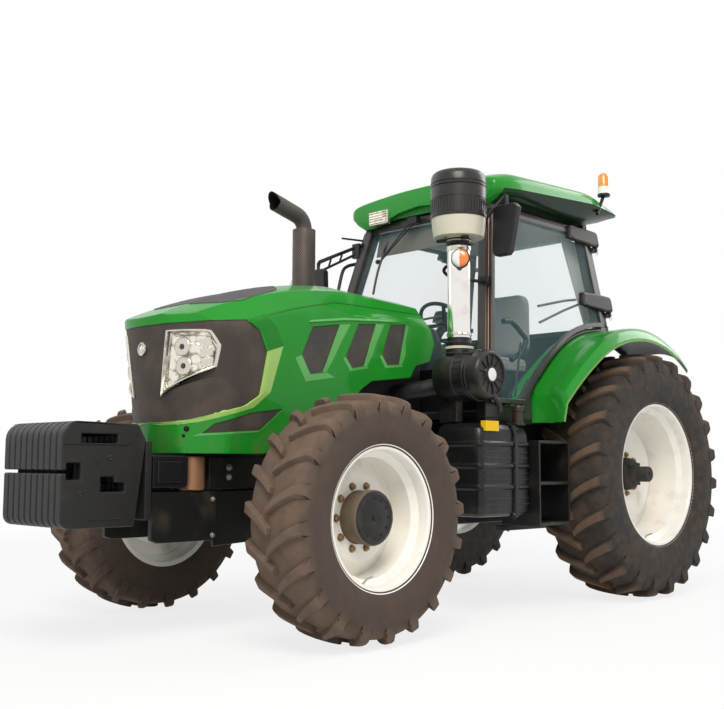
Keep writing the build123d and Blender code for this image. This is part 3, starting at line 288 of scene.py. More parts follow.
# Near-black: soot inside the exhaust mouth, and painted shade there and in the weights' hook slot.
soot_and_painted_shade = casting("soot_and_painted_shade", (0.006, 0.006, 0.006), 0.95, 0.0, 90.0)
print(len(bpy.data.materials), "finishes so far")

# %% [markdown]
# ## Bright parts, lamps and glass
# Chrome is a metal whose roughness drifts. Lenses are coloured plastic with a clear coat. Cab glass is
# tinted blue-green: most of what it shows is what stands behind it, so it is a thin, mostly transparent
# film rather than a solid lens. White and yellow plates are blank, because the part carries no lettering.

# %% Mix the bright finishes
chrome = Finish("polished_pipe", (0.86, 0.83, 0.80), 0.14, 1.0)
chrome.set("Roughness", chrome.noise(14.0) * 0.12 + 0.06)
# Brownish patches on the pipe: a stain, and a painted warm reflection.
chrome.stain_and_reflection((0.62, 0.52, 0.45), 6.0, 0.45, 0.7, 0.5)
silver = Finish("lamp_reflector", (0.78, 0.72, 0.60), 0.22, 1.0)
facets = silver.node("TexVoronoi", {}, {"Vector": silver.place, "Scale": 24.0})
# Some facets are painted dark brown and the rest pale: painted reflection varying across one silvered
# surface.
silver.set("Base Color", silver.mix(silver.step(facets, 0.45, 0.8), (0.88, 0.83, 0.72), (0.30, 0.26, 0.20)))
silver.bump(facets, 0.5, 0.003)
bezel = Finish("lamp_bezel", (0.66, 0.62, 0.55), 0.25, 0.85)
bezel.set("Roughness", bezel.noise(22.0) * 0.1 + 0.16)


CLEAN_GLASS = 0.03      # roughness


def film(name, colour, alpha):
    """Thin clear sheet that shows what is behind it."""
    sheet = Finish(name, colour, CLEAN_GLASS, IOR=1.45, Specular_IOR_Level=0.3)
    sheet.set("Alpha", sheet.noise(1.3, 2.0) * 0.04 + (alpha - 0.02))
    sheet.set("Roughness", sheet.noise(3.0) * 0.03 + CLEAN_GLASS)
    return sheet


def lens_plastic(name, colour):
    """Coloured lamp plastic with fine moulded optics."""
    plastic = Finish(name, colour, 0.18, Coat_Weight=1.0)
    plastic.set("Base Color", plastic.mix(plastic.noise(60.0), colour, [min(1.0, 1.25 * c) for c in colour]))
    return plastic.bump(plastic.node("TexVoronoi", {}, {"Vector": plastic.place, "Scale": 160.0}), 0.35,
                        0.002)


cab_glass = film("cab_glass", (0.26, 0.50, 0.54), 0.07)
lamp_glass = film("lamp_cover", (0.80, 0.80, 0.76), 0.06)
mirror_glass = Finish("mirror_glass", (0.80, 0.84, 0.86), CLEAN_GLASS, 1.0)
mirror_glass.set("Roughness", mirror_glass.noise(5.0) * 0.03 + 0.02)
amber = lens_plastic("amber_lens", (0.85, 0.26, 0.01))
signal_clear = lens_plastic("signal_clear_lens", (0.75, 0.72, 0.68))
orange = lens_plastic("orange_lens", (0.80, 0.17, 0.01))
white_lens = lens_plastic("white_lens", (0.80, 0.80, 0.76))
yellow_plate = casting("yellow_plate", (0.85, 0.52, 0.01), 0.45, 0.06, 300.0)
white_plate = casting("white_plate", (0.80, 0.79, 0.77), 0.45, 0.05, 300.0)
print(len(bpy.data.materials), "finishes so far")

# %% [markdown]
# ## Perforated sheet
# The nose, the vents and the exhaust guard are punched sheet. Real holes in a sheet this size would take
# millions of faces, so the pattern is a product of two sine waves in the surface's own coordinates: its
# peaks are the holes, darker and pushed in, and the bridges between them keep the painted colour.


# %% Punch the sheets
def punched(name, bridge, hole, pitch, rough=0.5, share=0.85):
    """Sheet with a grid of punched holes, the given distance apart."""
    sheet = Finish(name, bridge, rough)
    along = sheet.axis("X") + sheet.axis("Y")
    wave = 2 * math.pi / pitch
    rows, columns = (along * wave).sine(), (sheet.axis("Z") * wave).sine()
    holes = sheet.step(rows * columns, 0.02, 0.32)
    grime = sheet.step(sheet.noise(6.0, 6.0), 0.4, 0.75) * 0.5
    plate = sheet.mix(grime, bridge, DUST)
    sheet.set("Base Color", sheet.mix(holes * share, plate, hole))
    sheet.set("Roughness", holes * 0.3 + rough)
    return sheet.bump(1 - holes, 0.6, 0.002)


nose_mesh = punched("nose_mesh", (0.052, 0.038, 0.030), (0.005, 0.004, 0.004), 0.014)
vent_mesh = punched("vent_mesh", (0.060, 0.054, 0.050), (0.012, 0.011, 0.010), 0.012)
top_mesh = punched("top_vent_mesh", (0.085, 0.080, 0.088), (0.05, 0.047, 0.052), 0.010, 0.6)
guard_mesh = punched("exhaust_guard", (0.085, 0.060, 0.050), (0.012, 0.010, 0.008), 0.020, 0.45, 0.95)
print(len(bpy.data.materials), "finishes so far")

# %% [markdown]
# ## Studio
# The floor is pale and receives a soft shadow, and whatever looks past the tractor sees white, also through
# glass and in the polished pipe. One wide lamp stands high in front on the camera's side, a weaker one
# fills from the other side, and the world gives the rest, so that a colour renders close to how it is
# written.

# %% Light the studio
scene = bpy.context.scene
scene.view_settings.view_transform = "Standard"
world = bpy.data.worlds.new("studio")
scene.world = world
world.use_nodes = True
WORLD_LIGHT = 0.42
sky = Nodes(world.node_tree)
sky.tree.nodes.clear()


def looked_at(nodes):
    """1 for a ray that looks, also through glass or in a polished surface; 0 for one that lights."""
    straight, through, mirrored = (nodes.node("LightPath", {}, {}, "Is %s Ray" % kind)
                                   for kind in ("Camera", "Transmission", "Glossy"))
    return straight + through + mirrored


lit = sky.node("Background", {}, {"Color": (0.90, 0.95, 1.0), "Strength": WORLD_LIGHT})
shown = sky.node("Background", {}, {"Color": (1, 1, 1), "Strength": 1.0})
sky.feed(sky.tree.nodes.new("ShaderNodeOutputWorld").inputs["Surface"],
         sky.node("MixShader", {}, {0: looked_at(sky), 1: lit, 2: shown}))
print("the world shows white and lights at", WORLD_LIGHT)

# %% Lay the floor and hang the lamps
floor_finish = Finish("pale_floor", (0.86, 0.86, 0.85), 0.9)
floor_finish.set("Base Color",
                 floor_finish.mix(floor_finish.noise(0.6), (0.85, 0.85, 0.84), (0.88, 0.88, 0.87)))
from_tractor = floor_finish.node("VectorMath", {"operation": "LENGTH"}, {0: floor_finish.place}, 1)
far_floor = floor_finish.step(from_tractor, 3.5, 11.0)
glow = floor_finish.node("Emission", {}, {"Color": (1, 1, 1), "Strength": 1.0})
own = Socket(floor_finish, floor_finish.shader.outputs[0])
floor_finish.feed(
    floor_finish.tree.nodes["Material Output"].inputs["Surface"],
    floor_finish.node("MixShader", {}, {0: looked_at(floor_finish) * (far_floor * 0.2 + 0.8),
                                        1: own, 2: glow}))

floor_mesh = bpy.data.meshes.new("floor")
FLOOR_REACH = 60.0
floor_mesh.from_pydata([(x * FLOOR_REACH, y * FLOOR_REACH, 0)
                        for x, y in ((-1, -1), (1, -1), (1, 1), (-1, 1))], [], [(0, 1, 2, 3)])
floor_mesh.materials.append(floor_finish.material)
floor = bpy.data.objects.new("floor", floor_mesh)
scene.collection.objects.link(floor)


def lamp(name, place, target, size, power, colour=(1, 1, 1)):
    """Square area lamp aimed at a place."""
    data = bpy.data.lights.new(name, "AREA")
    data.size, data.energy, data.color = size, power, colour
    made = bpy.data.objects.new(name, data)
    made.location = place
    made.rotation_euler = (Vector(target) - Vector(place)).to_track_quat("-Z", "Y").to_euler()
    scene.collection.objects.link(made)


lamp("key", at(5.5, -4.5, 8.5), at(0, 0.8, 1.2), 5.0, 900, (1.0, 0.96, 0.90))
lamp("fill", at(-7.0, -2.0, 5.0), at(0, 1.0, 1.2), 6.0, 60, (0.93, 0.97, 1.0))
lamp("back", at(2.0, 9.0, 6.0), at(0, 2.0, 1.6), 5.0, 260)
print("lamps:", [light.name for light in bpy.data.lights])

# %% [markdown]
# ## Building pieces from sections
# Nearly everything on a tractor is a turned part, a bent tube, a pressed panel or a sawn plate. So one
# builder collects vertices and faces from those few operations and hands over a single mesh, with its edges
# rounded by a bevel, because a real edge always catches a line of light.


# %% Directions and rings
def frame_of(axis):
    """Two directions square to an axis and to each other."""
    axis = Vector(axis).normalized()
    upright_axis = abs(axis.z) > 0.99
    side = (axis.orthogonal() if upright_axis else Vector((0, 0, 1)).cross(axis)).normalized()
    return side, axis.cross(side)


def ring(centre, axis, radius, steps):
    """Points of a circle about an axis."""
    side, other = frame_of(axis)
    return [Vector(centre) + side * radius * math.cos(2 * math.pi * k / steps)
            + other * radius * math.sin(2 * math.pi * k / steps) for k in range(steps)]


def turns(count, start=0.0):
    """Angles of an even ring; start is in steps."""
    return [2 * math.pi * (k + start) / count for k in range(count)]


def ways_out(axis, angle):
    """Outward and sideways directions at an angle round the X or the Z axis."""
    c, s = math.cos(angle), math.sin(angle)
    return (Vector((0, c, s)), Vector((0, -s, c))) if axis == "X" else (Vector((c, s, 0)), Vector((-s, c, 0)))


print("rings are ready")


# %% The shape builder
class Shape:
    """Vertices and faces of one piece."""

    def __init__(self):
        self.verts, self.faces = [], []

    def add(self, verts, faces):
        base = len(self.verts)
        self.verts += [Vector(v) for v in verts]
        self.faces += [[base + i for i in face] for face in faces]
        return self

    def loft(self, rings, caps=True, closed=True, loop=False):
        """Skin through rings of equal length."""
        count = len(rings[0])
        faces = []
        rows = len(rings) if loop else len(rings) - 1
        for row in range(rows):
            a, b = row * count, (row + 1) % len(rings) * count
            for k in range(count if closed else count - 1):
                j = (k + 1) % count
                faces.append([a + k, a + j, b + j, b + k])
        if caps and not loop:
            faces += [list(range(count))[::-1], [(len(rings) - 1) * count + k for k in range(count)]]
        return self.add([p for r in rings for p in r], faces)

    def lathe(self, origin, axis, profile, steps=64, loop=False):
        """Turned part from (distance along the axis, radius) pairs; loop closes the profile on itself."""
        axis = Vector(axis).normalized()
        rings = [ring(Vector(origin) + axis * along, axis, max(radius, 1e-4), steps) for along,
                 radius in profile]
        return self.loft(rings, not loop, True, loop)

    def tube(self, path, radius, steps=12):
        """Bar along a path; radius is a number or one for each point."""
        path = [Vector(p) for p in path]
        radii = radius if isinstance(radius, (list, tuple)) else [radius] * len(path)
        side, rings = None, []
        for k, point in enumerate(path):
            ahead = (path[min(k + 1, len(path) - 1)] - path[max(k - 1, 0)]).normalized()
            side = frame_of(ahead)[0] if side is None else (side - ahead * side.dot(ahead)).normalized()
            other = ahead.cross(side)
            rings.append([point + (side * math.cos(2 * math.pi * j / steps)
                                   + other * math.sin(2 * math.pi * j / steps)) * radii[k]
                          for j in range(steps)])
        return self.loft(rings)

    def prism(self, outline, push):
        """Flat outline pushed along a vector."""
        outline, push = [Vector(p) for p in outline], Vector(push)
        return self.loft([outline, [p + push for p in outline]])

    def drawn(self, points, push):
        """Prism whose outline is given as places counted from the front axle."""
        return self.prism([at(*p) for p in points], push)

    def cheek(self, side, x, outline, thick):
        """Plate on the left or the right: an outline in side view, pushed outward."""
        return self.prism([at(side * x, y, z) for y, z in outline], (side * thick, 0, 0))

    def fin(self, foot, ways, low, high, depth, push):
        """Rib standing outward from its foot; low and high are half its width there and at its top."""
        out, sideways = ways
        return self.prism([foot - sideways * low, foot + sideways * low, foot + sideways * high + out * depth,
                           foot - sideways * high + out * depth], push)

    def join(self, other):
        return self.add(other.verts, other.faces)

    def box(self, low, high):
        (x0, y0, z0), (x1, y1, z1) = low, high
        return self.prism([(x0, y0, z0), (x1, y0, z0), (x1, y1, z0), (x0, y1, z0)], (0, 0, z1 - z0))

    def bolt(self, place, axis, size, washer=True):
        """Hexagon head on a washer."""
        axis = Vector(axis).normalized()
        if washer:
            self.lathe(place, axis, [(0, size * 0.72), (size * 0.12, size * 0.7)], 18)
        self.lathe(Vector(place) + axis * size * 0.12, axis,
                   [(0, size * 0.54), (size * 0.42, size * 0.54), (size * 0.5, size * 0.46)], 6)
        return self.lathe(Vector(place) + axis * size * 0.6, axis,
                          [(0, size * 0.28), (size * 0.22, size * 0.24)], 10)

    def twin(self):
        """Adds the mirror image on the tractor's other side."""
        return self.join(self.mirror_image())

    def mirror_image(self):
        """A copy of the shape on the tractor's other side."""
        return Shape().add([(-v.x, v.y, v.z) for v in self.verts], [face[::-1] for face in self.faces])

    def make(self, name, finish, node, slot=None, bevel=0.0, smooth=32, replaces=(), segments=2):
        """The piece itself; it rides with a CAD node, or with a body given by its own name."""
        mesh = bpy.data.meshes.new(name)
        mesh.from_pydata(self.verts, [], self.faces)
        work = bmesh.new()
        work.from_mesh(mesh)
        bmesh.ops.remove_doubles(work, verts=work.verts, dist=2e-5)
        bmesh.ops.recalc_face_normals(work, faces=work.faces)
        work.to_mesh(mesh)
        work.free()
        return dress_up(name, mesh, finish, node, slot, bevel, smooth, replaces, segments)


print("the shape builder is ready")


# %% Turn a mesh into a piece
def dress_up(name, mesh, finish, node, slot, bevel, smooth, replaces, segments=2, even=False,
             subdivide=0):
    """Turns a mesh into a piece that rides on a body; its slot is not used."""
    body, slot = body_of.get(node, node), slot or slot_of[node]
    mesh.shade_smooth()
    mesh.set_sharp_from_angle(angle=math.radians(smooth))
    mesh.materials.clear()
    mesh.materials.append(finish.material)
    piece = bpy.data.objects.new(name, mesh)
    scene.collection.objects.link(piece)
    if bevel:
        mesh.shade_smooth()
        edge = piece.modifiers.new("rounded_edges", "BEVEL")
        edge.width, edge.segments, edge.limit_method = bevel, segments, "ANGLE"
        edge.angle_limit, edge.use_clamp_overlap = math.radians(smooth), False
        edge.harden_normals = not even
    if even:
        piece.modifiers.new("even_normals", "WEIGHTED_NORMAL").keep_sharp = True
    if subdivide:
        soft = piece.modifiers.new("smoothed", "SUBSURF")
        soft.levels = soft.render_levels = subdivide
    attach(piece, body)
    if replaces:
        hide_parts(*replaces)
    return piece


def refined(node, finish, bevel, smooth=28, segments=2, keep=lambda centre: True, name=None, merge=0.0):
    """A CAD node's own mesh with rounded edges, standing for the node."""
    work = bmesh.new()
    work.from_mesh(frame["nodes"][node].data)
    bmesh.ops.remove_doubles(work, verts=work.verts, dist=2e-5)
    gone = [f for f in work.faces if not keep(f.calc_center_median())]
    bmesh.ops.delete(work, geom=gone, context="FACES")
    if merge:
        bmesh.ops.dissolve_limit(work, angle_limit=math.radians(merge), verts=work.verts, edges=work.edges)
    mesh = bpy.data.meshes.new(name or node + "_finished")
    work.to_mesh(mesh)
    work.free()
    return dress_up(mesh.name, mesh, finish, node, None, bevel, smooth, (node,), segments, not merge)


print("pieces can be made")

# %% [markdown]
# ## Tyres
# A field tyre is a smooth carcass with two rows of bars that start near the middle and sweep back to the
# shoulder, one row half a pitch behind the other. The carcass is turned from a rounded profile. Each bar is
# lofted from its own cross-sections, so that its flanks lean and its end steps down the side wall.


# %% Carcass and bars
def tyre_profile(half, bead, top, lug):
    """Right half of the carcass, from the bead over the wall to the middle of the tread."""
    rise = top - bead
    return [(0.80 * half, bead - 0.004), (0.86 * half, bead + 0.018), (0.93 * half, bead + 0.045),
            (0.985 * half, bead + 0.30 * rise), (0.995 * half, bead + 0.45 * rise),
            (0.975 * half, bead + 0.62 * rise),
            (0.93 * half, top - lug - 0.055), (0.87 * half, top - lug - 0.028),
            (0.76 * half, top - lug - 0.012),
            (0.5 * half, top - lug - 0.003), (0.2 * half, top - lug)]


def smooth_points(points, cuts=3):
    """Rounded line through points, by Catmull-Rom."""
    made = []
    for k in range(len(points) - 1):
        p = [Vector(points[min(max(k + j, 0), len(points) - 1)]) for j in (-1, 0, 1, 2)]
        for c in range(cuts):
            t = c / cuts
            made.append(((-t + 2 * t * t - t ** 3) * p[0] + (2 - 5 * t * t + 3 * t ** 3) * p[1]
                         + (t + 4 * t * t - 3 * t ** 3) * p[2] + (t ** 3 - t * t) * p[3]) / 2)
    return made + [Vector(points[-1])]


BEAD_GAP = 0.028            # how far the tyre's bead sits inside the rim's flange
BAR_SWEEP = 0.285 * 2.9     # how many pitches a bar sweeps back on its way to the shoulder
# share of the bar's length, reach across half the tyre, drop below the tread, width
BAR_STATIONS = ((0.0, -0.035, 0.0, 0.75), (0.18, 0.13, 0.0, 0.9), (0.36, 0.31, 0.002, 0.95),
                (0.54, 0.50, 0.005, 1.0), (0.72, 0.69, 0.010, 1.05), (0.88, 0.86, 0.018, 1.15),
                (0.97, 0.955, 0.030, 1.3), (1.0, 0.985, 0.062, 1.35))


def bar_of(centre, half, top, lug, start, row, pitch):
    """One tread bar as sections across its length: each has its two feet and two top edges."""
    rings = []
    for share, reach, drop, wide in BAR_STATIONS:
        angle = start + BAR_SWEEP * pitch * (share - 0.28 * share * share)
        high, low = top - drop, top - lug - 0.012 - drop * 1.35
        section = []
        for offset, radius in ((-0.58, low), (-0.36, high), (0.36, high), (0.58, low)):
            turned = angle + offset * wide * pitch * 0.30
            section.append(centre + Vector((row * reach * half, -math.cos(turned) * radius,
                                            math.sin(turned) * radius)))
        rings.append(section)
    return rings


def tractor_tyre(end, side_name, bars, lug, finish):
    """A tyre as a turned carcass and one mesh of bars."""
    node = "tyre_" + end + "_" + side_name
    low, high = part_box(node)
    centre, half, top = (low + high) / 2, (high.x - low.x) / 2, (high.z - low.z) / 2
    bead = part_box("rim_" + end + "_" + side_name)
    bead = (bead[1].z - bead[0].z) / 2 - BEAD_GAP
    right = smooth_points([(a, b, 0) for a, b in tyre_profile(half, bead, top, lug)])
    left = [Vector((-p.x, p.y, 0)) for p in reversed(right)]
    shape = Shape().lathe(centre, (1, 0, 0), [(p.x, p.y) for p in right + left], 120, True)
    shape.make(node + "_carcass", finish, node, replaces=(node,), smooth=50)
    bar_shape = Shape()
    pitch = 2 * math.pi / bars
    for row in (1, -1):
        for k in range(bars):
            start = k * pitch + (0.25 if row > 0 else -0.25) * pitch
            bar_shape.loft(bar_of(centre, half, top - 0.004, lug, start, row, pitch))
    bar_shape.make(node + "_bars", finish, node, bevel=0.006)


print("carcass and bars are drawn")


# %% Mix the rubber and fit the tyres
def rubber(name, centre, tread, wall, edge, bands, soft):
    """Rubber that is dusty on the tread and darker on the wall; they meet at a distance from the axle."""
    skin = Finish(name, wall, 0.85, Specular_IOR_Level=0.3)
    around = skin.node("VectorMath", {"operation": "SUBTRACT"}, {0: skin.place, 1: (0, centre.y, centre.z)})
    y, z = skin.axis("Y", around), skin.axis("Z", around)
    radius = y.math("SQRT", y * y + z * z)
    outward = skin.step(radius + (skin.noise(7.0, 5.0) - 0.5) * (2.4 * soft), edge - soft, edge + soft)
    colour = skin.mix(outward, wall, tread)
    patch = skin.step(skin.noise(16.0, 8.0), 0.38, 0.72) * 0.55
    skin.set("Base Color", skin.mix(patch, colour, [0.62 * c for c in tread]))
    skin.set("Roughness", 0.95 - skin.noise(20.0) * 0.25)
    return skin.bump(skin.noise(90.0, 6.0) * 0.7 + (radius * bands).sine() * 0.05, 0.35, 0.003)


SIDES = (("left", 1), ("right", -1))
front_rubber = rubber("front_tyre_rubber", middle("tyre_front_left"), tread=(0.150, 0.102, 0.074),
                      wall=(0.070, 0.053, 0.041), edge=0.57, bands=500.0, soft=0.05)
rear_rubber = rubber("rear_tyre_rubber", middle("tyre_rear_left"), tread=(0.150, 0.095, 0.064),
                     wall=(0.036, 0.033, 0.031), edge=0.828, bands=420.0, soft=0.022)
for side_name, side in SIDES:
    tractor_tyre("front", side_name, bars=20, lug=0.038, finish=front_rubber)
    tractor_tyre("rear", side_name, bars=23, lug=0.046, finish=rear_rubber)
print("tyres fitted")

# %% [markdown]
# ## Wheels
# The rims are cream enamel over rolled plate: a barrel with stepped sides and a dished disc. They are
# turned here from more points than the CAD holds, with the flange's lip rolled over. A front wheel carries
# its hub's drum in the middle, inside a ring of nuts; a rear wheel has a flat clamp on its bar axle.

# %% Rims and hubs
rim_cream = Finish("rim_enamel", (0.90, 0.87, 0.80), 0.34, Coat_Weight=0.6, Coat_Roughness=0.12)
streak = rim_cream.step(rim_cream.noise(8.0, 7.0), 0.50, 0.80) * 0.30
rim_cream.set("Base Color", rim_cream.mix(streak, (0.90, 0.87, 0.80), (0.45, 0.33, 0.22)))
rim_cream.set("Roughness", streak * 0.8 + 0.3)
rim_cream.bump(rim_cream.noise(120.0, 3.0), 0.06, 0.001)


def rim_profile(half, bead, well, seat, dish, ring_r, hole):
    """Outline of a rim from the disc's hole round the outside of the barrel and back; (distance, radius)."""
    top = bead + 0.027
    return [(seat + 0.012, hole), (seat + 0.012, ring_r - 0.03), (seat + 0.006, ring_r - 0.008),
            (seat - 0.006, ring_r + 0.006), (dish + 0.024, well - 0.03), (dish + 0.016, well - 0.013),
            (dish + 0.03, well - 0.009), (half - 0.092, well - 0.009), (half - 0.062, bead - 0.011),
            (half - 0.006, bead - 0.009), (half + 0.003, bead - 0.004), (half + 0.006, top - 0.012),
            (half + 0.013, top - 0.006), (half + 0.012, top + 0.001), (half + 0.004, top + 0.002),
            (half - 0.002, top - 0.006), (half - 0.003, bead), (half - 0.066, bead - 0.002),
            (half - 0.096, well),
            (-half + 0.072, well), (-half + 0.048, bead - 0.002), (-half, bead), (-half, top),
            (-half - 0.012, top), (-half - 0.011, top - 0.006), (-half - 0.004, bead - 0.009),
            (-half + 0.044, bead - 0.011), (-half + 0.068, well - 0.009), (dish, well - 0.009),
            (dish, well - 0.016), (seat - 0.012, ring_r - 0.006), (seat, ring_r - 0.012), (seat, hole)]


NUT_SIZE = 0.030


def fit_wheel(end, side_name, side, profile, nuts, circle, nut_seat):
    """Rim, its ring of nuts and the tyre valve."""
    centre, axis = middle("tyre_" + end + "_" + side_name), Vector((side, 0, 0))
    node = "rim_" + end + "_" + side_name
    Shape().lathe(centre, axis, profile, 112, True).make(
        node + "_turned", rim_cream, node, bevel=0.0015, smooth=30, replaces=(node,))
    fasteners = Shape()
    for place in ring(centre + axis * nut_seat, axis, circle, nuts):
        fasteners.bolt(place, axis, NUT_SIZE)
    fasteners.make(node + "_nuts", bronze, node, "bright_steel", bevel=0.0012)
    seat_along, seat_radius = profile[8]
    foot = centre + axis * (seat_along + 0.02) + Vector((0, -0.30, -0.954)) * (seat_radius - 0.006)
    Shape().tube([foot, foot + axis * 0.02 + Vector((0, 0.008, 0.025)),
                  foot + axis * 0.055 + Vector((0, 0.012, 0.038))], [0.006, 0.005, 0.004], 10).make(
        node + "_valve", zinc, node, "bright_steel")


FRONT_RIM = rim_profile(half=0.165, bead=0.3556, well=0.3196, seat=-0.020, dish=-0.078,
                        ring_r=0.243, hole=0.139)
REAR_RIM = rim_profile(half=0.203, bead=0.4826, well=0.4426, seat=-0.062, dish=-0.112,
                       ring_r=0.352, hole=0.09)
for side_name, side in SIDES:
    fit_wheel("front", side_name, side, FRONT_RIM, nuts=10, circle=0.1675, nut_seat=-0.008)
    fit_wheel("rear", side_name, side, REAR_RIM, nuts=8, circle=0.138, nut_seat=-0.050)
print("rims fitted")

# %% Turn the hubs
for side_name, side in SIDES:
    node = "hub_front_" + side_name
    centre, axis = middle("tyre_front_" + side_name), Vector((side, 0, 0))
    drum = [(-0.143, 0.0585), (-0.143, 0.104), (-0.066, 0.112), (-0.038, 0.150), (-0.038, 0.192),
            (-0.020, 0.192), (-0.020, 0.138), (0.062, 0.138), (0.066, 0.134), (0.070, 0.138), (0.074, 0.143),
            (0.100, 0.143), (0.106, 0.138), (0.110, 0.126), (0.112, 0.122), (0.1105, 0.116), (0.1105, 0.088),
            (0.1125, 0.084), (0.1125, 0.030), (0.110, 0.026),
            (0.110, 0.0)]
    Shape().lathe(centre, axis, drum[:13], 96).make(
        node + "_drum", hub_dust, node, bevel=0.002, replaces=(node,))
    cap = [(0.098, 0.10)] + drum[12:]
    Shape().lathe(centre, axis, cap, 96).make(node + "_cap", black_cast, node, bevel=0.0015)
    screws = Shape()
    for place in ring(centre + axis * 0.110, axis, 0.102, 12):
        screws.lathe(place, axis, [(0, 0.008), (0.0035, 0.0075), (0.0035, 0.004), (0.001, 0.0035)], 12)
    screws.lathe(centre + axis * 0.1095, axis, [(0, 0.016), (0.006, 0.015), (0.007, 0.010), (0.004, 0.009)],
                 6)
    screws.make(node + "_screws", grimy_cast, node)

    node = "hub_rear_" + side_name
    centre = middle("tyre_rear_" + side_name)
    base = 0.470 - abs(centre.x)
    shaft = [(base, 0.0), (base, 0.050), (-0.122, 0.050), (-0.102, 0.120), (-0.082, 0.165), (-0.062, 0.165),
             (-0.062, 0.089), (-0.050, 0.089), (-0.050, 0.118), (-0.016, 0.112), (0.004, 0.104),
             (0.010, 0.096), (0.014, 0.070), (0.050, 0.062), (0.056, 0.056), (0.060, 0.0545), (0.130, 0.0545),
             (0.138, 0.050), (0.140, 0.046), (0.136, 0.040), (0.136, 0.012), (0.128, 0.010),
             (0.128, 0.0)]
    Shape().lathe(centre, axis, shaft, 72).make(
        node + "_shaft", grimy_cast, node, bevel=0.0015, replaces=(node,))
    clamp = Shape()
    for a in turns(4, 0.5):
        out, sideways = ways_out("X", a)
        clamp.bolt(centre + axis * 0.006 + out * 0.084, axis, 0.024)
        clamp.fin(centre + out * 0.058, (out, sideways), 0.010, 0.007, 0.047, axis * 0.022)
    clamp.make(node + "_clamp", grimy_cast, node, bevel=0.0015)
print("wheels fitted")

# %% [markdown]
# ## The carried CAD parts
# Where the CAD's own shape is right, a copy of its mesh is kept. Doubled points are joined, and a bevel
# rounds the edges, so that plates and castings catch light the way real ones do. The copy stands for the
# node.

# %% Refine the castings and frames
for node, finish, bevel in (
        ("front_axle_beam", grimy_cast, 0.006), ("tie_rod", grimy_cast, 0.003),
        ("steering_cylinder", black_cast, 0.003), ("steering_rod", zinc, 0.001),
        ("knuckle_left", grimy_cast, 0.005),
        ("knuckle_right", grimy_cast, 0.005), ("front_support", black_cast, 0.005),
        ("engine_block", black_cast, 0.01),
        ("transmission_housing", black_cast, 0.008), ("rear_axle_housing", black_cast, 0.006),
        ("front_drive_shaft", grimy_cast, 0.002), ("weight_bracket", weight_cast, 0.004),
        ("cab_body", moulded, 0.003), ("steps", black_cast, 0.003), ("lower_links", black_cast, 0.004),
        ("lift_arms", black_cast, 0.004), ("lift_rods", black_cast, 0.002), ("drawbar", black_cast, 0.004),
        ("cab_frame", post_paint, 0.008), ("seat_base", moulded, 0.008), ("steering_column", moulded, 0.010),
        ("battery_box", tank_plastic, 0.012)):
    refined(node, finish, bevel)
print("refined nodes done")


# %% [markdown]
# ## Bonnet
# The pressed panels keep the CAD's surfaces, with soft edges. What a real bonnet adds is trim that lies on
# the curve: chamfers round the nose grille and the vents, a shut line, lamps and an emblem ring. The chamfers
# are painted paler green, a painted highlight where their edges catch light, and one corner facet darker, a
# painted shade. Each is drawn flat, in side view or front view, and thrown onto the panel with a ray, so it
# follows any curve.


# %% Rays onto the bonnet
def tree_of(*nodes):
    """Faces of CAD nodes, ready for rays."""
    verts, faces = [], []
    for node in nodes:
        mesh = frame["nodes"][node].data
        faces += [[len(verts) + i for i in face.vertices] for face in mesh.polygons]
        verts += [v.co.copy() for v in mesh.vertices]
    return BVHTree.FromPolygons(verts, faces)


side_skin = tree_of("hood_side_left")
nose_skin = tree_of("hood_mesh", "headlights", "hood_side_left", "hood_side_right", "hood_top")


def thrown(tree, start, direction, lift):
    direction = Vector(direction)
    place, normal = tree.ray_cast(start, direction)[:2]
    if place is None:
        place, normal = tree.find_nearest(start + direction * 0.55)[:2]
    return place + (normal if normal.dot(direction) < 0 else -normal) * lift


def on_side(y, z, lift=0.0):
    return thrown(side_skin, at(0.9, y, z), (-1, 0, 0), lift)


def on_nose(x, z, lift=0.0):
    return thrown(nose_skin, at(x, -1.3, z), (0, 1, 0), lift)


def along(points, count):
    """Evenly spaced points on a polyline."""
    points = [Vector(p) for p in points]
    lengths = [(b - a).length for a, b in zip(points, points[1:])]
    made = []
    for k in range(count):
        rest = sum(lengths) * k / (count - 1)
        for a, b, length in zip(points, points[1:], lengths):
            if rest <= length or b is points[-1]:
                made.append(a.lerp(b, min(1.0, rest / length)))
                break
            rest -= length
    return made


print("rays find the bonnet")


# %% Chamfers drawn flat
def facet(inner, outer, rise=0.003, count=24):
    """Chamfer lying on the bonnet's side between two lines drawn as (y, z)."""
    rings = []
    for a, b in zip(along(inner, count), along(outer, count)):
        across = [(a.lerp(b, k / 5), rise + (0.0012 - rise) * k / 5) for k in range(6)]
        rings.append([on_side(p.x, p.y, lift) for p, lift in across]
                     + [on_side(b.x, b.y, -0.002), on_side(a.x, a.y, -0.002)])
    return Shape().loft(rings)


for node in ("hood_top", "hood_side_left", "hood_side_right"):
    refined(node, green, 0.003, 34)
print("bonnet panels refined")

